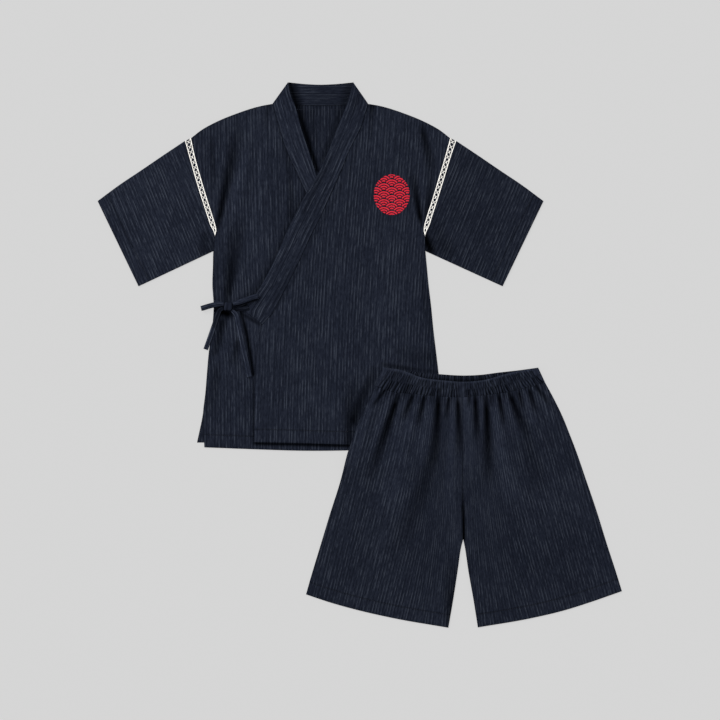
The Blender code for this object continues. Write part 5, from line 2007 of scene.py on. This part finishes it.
class LaceSettings(bpy.types.PropertyGroup):
    """The insertion lace's thread."""

    cream: FloatVectorProperty(
        name="Cream", description="Colour of the lace thread", subtype="COLOR", size=3, default=CREAM
    )
    twist: FloatProperty(
        name="Twist", description="Length of one turn of the thread", subtype="DISTANCE", default=0.0009
    )


class SewingSettings(bpy.types.PropertyGroup):
    """The machine stitching."""

    colour: FloatVectorProperty(
        name="Thread colour",
        description="Colour of the sewing thread",
        subtype="COLOR",
        size=3, default=THREAD,
    )
    stitch: FloatProperty(
        name="Stitch", description="Length of one stitch", subtype="DISTANCE", default=0.003
    )
    gap: FloatProperty(
        name="Gap", description="Cloth between two stitches", subtype="DISTANCE", default=0.0012
    )
    thread: FloatProperty(
        name="Thread", description="Thickness of the thread", subtype="DISTANCE", default=0.0006
    )


class RoundelSettings(bpy.types.PropertyGroup):
    """The embroidered wave roundel on the wearer's left."""

    red: FloatVectorProperty(
        name="Red", description="Colour of the embroidery", subtype="COLOR", size=3, default=RED
    )
    across: FloatProperty(
        name="Across", description="From the jacket's centre line", subtype="DISTANCE", default=0.1493
    )
    down: FloatProperty(
        name="Down", description="From the top of the collar", subtype="DISTANCE", default=0.2329
    )
    wide: FloatProperty(name="Width", description="Width of the oval", subtype="DISTANCE", default=0.0756)
    high: FloatProperty(name="Height", description="Height of the oval", subtype="DISTANCE", default=0.085)
    wave: FloatProperty(name="Wave", description="Radius of one wave", subtype="DISTANCE", default=0.0165)
    band: FloatProperty(
        name="Band", description="Width of a satin-stitched band", subtype="DISTANCE", default=0.0031
    )
    gap: FloatProperty(
        name="Gap", description="Cloth between two bands", subtype="DISTANCE", default=0.0018
    )
    raised: FloatProperty(
        name="Raised", description="How far the embroidery stands up", subtype="DISTANCE", default=0.0008
    )


class StageSettings(bpy.types.PropertyGroup):
    """Floor, light and camera."""

    floor: FloatVectorProperty(
        name="Floor", description="Colour of the floor", subtype="COLOR", size=3, default=FLOOR
    )
    glow: FloatVectorProperty(
        name="Glow", description="Light that the floor gives", subtype="COLOR", size=3, default=GLOW
    )
    sky: FloatProperty(name="Sky", description="Strength of the light from all round", default=0.56)
    lamp: FloatProperty(name="Lamp", description="Strength of the soft light from one side", default=1.25)
    camera_high: FloatProperty(
        name="Camera height", description="Above the floor", subtype="DISTANCE", default=4.2
    )
    lens: FloatProperty(name="Lens", description="Focal length in millimetres", default=100.0)


# ---------------------------------------------------------------- operators


class JINBEI_OT_back(bpy.types.Operator):
    """Lay the jacket's back on the floor"""

    bl_idname = "jinbei.make_back"
    bl_label = "Jacket back"

    def execute(self, context):
        make_back(navy_cotton(context))
        return {"FINISHED"}


class JINBEI_OT_fronts(bpy.types.Operator):
    """Lay the under front on the back, then the over front that laps it"""

    bl_idname = "jinbei.make_fronts"
    bl_label = "Jacket fronts"

    def execute(self, context):
        make_fronts(navy_cotton(context))
        return {"FINISHED"}


class JINBEI_OT_collar(bpy.types.Operator):
    """Lay the collar band round the neck and down both fronts"""

    bl_idname = "jinbei.make_collar"
    bl_label = "Collar band"

    def execute(self, context):
        make_collar(navy_cotton(context))
        return {"FINISHED"}


class JINBEI_OT_sleeves(bpy.types.Operator):
    """Lay both sleeves beside the armholes"""

    bl_idname = "jinbei.make_sleeves"
    bl_label = "Sleeves"

    def execute(self, context):
        for side in ("right", "left"):
            make_sleeve(side, navy_cotton(context))
        return {"FINISHED"}


class JINBEI_OT_lace(bpy.types.Operator):
    """Let the insertion lace into both armholes"""

    bl_idname = "jinbei.make_lace"
    bl_label = "Insertion lace"

    def execute(self, context):
        lace = context.scene.jinbei_lace
        cream = finish_named("cream_lace_cotton", lambda: cotton_lace(lace))
        for side in ("right", "left"):
            make_lace(side, cream, navy_cotton(context))
        return {"FINISHED"}


class JINBEI_OT_bow(bpy.types.Operator):
    """Tie the bands in their bow at the wearer's right side"""

    bl_idname = "jinbei.make_bow"
    bl_label = "Tie bands and bow"

    def execute(self, context):
        make_bow(navy_cotton(context))
        return {"FINISHED"}


class JINBEI_OT_waistband(bpy.types.Operator):
    """Gather the shorts' elastic channel"""

    bl_idname = "jinbei.make_waistband"
    bl_label = "Elastic channel"

    def execute(self, context):
        make_waistband(navy_cotton(context))
        return {"FINISHED"}


class JINBEI_OT_legs(bpy.types.Operator):
    """Lay the legs of the shorts, falling in gathers from the channel"""

    bl_idname = "jinbei.make_legs"
    bl_label = "Legs of the shorts"

    def execute(self, context):
        make_legs(navy_cotton(context))
        return {"FINISHED"}


class JINBEI_OT_sewing(bpy.types.Operator):
    """Run the stitching round the hems, cuffs and neck"""

    bl_idname = "jinbei.make_sewing"
    bl_label = "Stitching"

    def execute(self, context):
        sewing = context.scene.jinbei_sewing
        thread = satin_thread("navy_sewing_thread", sewing.colour, 0.0008, 0.6)
        make_sewing(thread, sewing)
        return {"FINISHED"}


class JINBEI_OT_roundel(bpy.types.Operator):
    """Embroider the wave roundel on the over front"""

    bl_idname = "jinbei.make_roundel"
    bl_label = "Wave roundel"

    def execute(self, context):
        roundel = context.scene.jinbei_roundel
        make_roundel(satin_thread("red_embroidery_thread", roundel.red, 0.0009, 0.5), roundel)
        return {"FINISHED"}


class JINBEI_OT_stage(bpy.types.Operator):
    """Put down the floor, light it and place the camera"""

    bl_idname = "jinbei.make_stage"
    bl_label = "Floor, light and camera"

    def execute(self, context):
        scene = context.scene
        stage = scene.jinbei_stage
        bpy.ops.object.select_all(action="DESELECT")
        bpy.ops.mesh.primitive_plane_add(size=FLOOR_SIZE, location=(0.0, 0.0, FLOOR_LOW))
        bpy.ops.object.transform_apply(location=True, rotation=True, scale=True)
        floor = context.object
        floor.name = floor.data.name = "floor"
        floor.data.materials.append(light_table("pale_floor", stage.floor, stage.glow))

        world = bpy.data.worlds.new("studio")
        world.use_nodes = True
        sky = world.node_tree.nodes["Background"]
        sky.inputs["Color"].default_value = (1.0, 1.0, 1.0, 1.0)
        sky.inputs["Strength"].default_value = stage.sky
        scene.world = world
        bpy.ops.object.light_add(type="SUN", location=(-1.5, 1.5, 3.0), rotation=LAMP_TURN)
        lamp = context.object
        lamp.name = "soft_side_light"
        lamp.data.energy = stage.lamp
        lamp.data.angle = LAMP_SOFT

        bpy.ops.object.camera_add(location=(*CAMERA_OVER, stage.camera_high), rotation=(0.0, 0.0, 0.0))
        camera = context.object
        camera.data.lens = stage.lens
        camera.data.sensor_width = 36.0
        scene.camera = camera
        scene.view_settings.view_transform = "Standard"
        return {"FINISHED"}


OPERATORS = (
    JINBEI_OT_stage,
    JINBEI_OT_back,
    JINBEI_OT_fronts,
    JINBEI_OT_collar,
    JINBEI_OT_sleeves,
    JINBEI_OT_lace,
    JINBEI_OT_bow,
    JINBEI_OT_waistband,
    JINBEI_OT_legs,
    JINBEI_OT_sewing,
    JINBEI_OT_roundel,
)
SETTINGS = {
    "jinbei_cloth": ClothSettings,
    "jinbei_lace": LaceSettings,
    "jinbei_sewing": SewingSettings,
    "jinbei_roundel": RoundelSettings,
    "jinbei_stage": StageSettings,
}


class JINBEI_PT_set(bpy.types.Panel):
    """Lists what makes the set, in order"""

    bl_idname = "JINBEI_PT_set"
    bl_label = "Jinbei"
    bl_space_type = "VIEW_3D"
    bl_region_type = "UI"
    bl_category = "Jinbei"

    def draw(self, context):
        for operator in OPERATORS:
            self.layout.operator(operator.bl_idname)
        for name, group in SETTINGS.items():
            box = self.layout.box()
            box.label(text=name.removeprefix("jinbei_").capitalize())
            for setting in group.__annotations__:
                box.prop(getattr(context.scene, name), setting)


def register():
    """Adds the settings, the operators and the panel to Blender."""
    for group in (*SETTINGS.values(), *OPERATORS, JINBEI_PT_set):
        bpy.utils.register_class(group)
    for name, group in SETTINGS.items():
        setattr(bpy.types.Scene, name, PointerProperty(type=group))


def unregister():
    """Takes them out again."""
    for name in SETTINGS:
        delattr(bpy.types.Scene, name)
    for group in reversed((*SETTINGS.values(), *OPERATORS, JINBEI_PT_set)):
        bpy.utils.unregister_class(group)


def main():
    """Makes the stage and the set."""
    register()
    for operator in OPERATORS:
        _, name = operator.bl_idname.split(".")
        getattr(bpy.ops.jinbei, name)()
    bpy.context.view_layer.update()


if __name__ == "__main__":
    main()
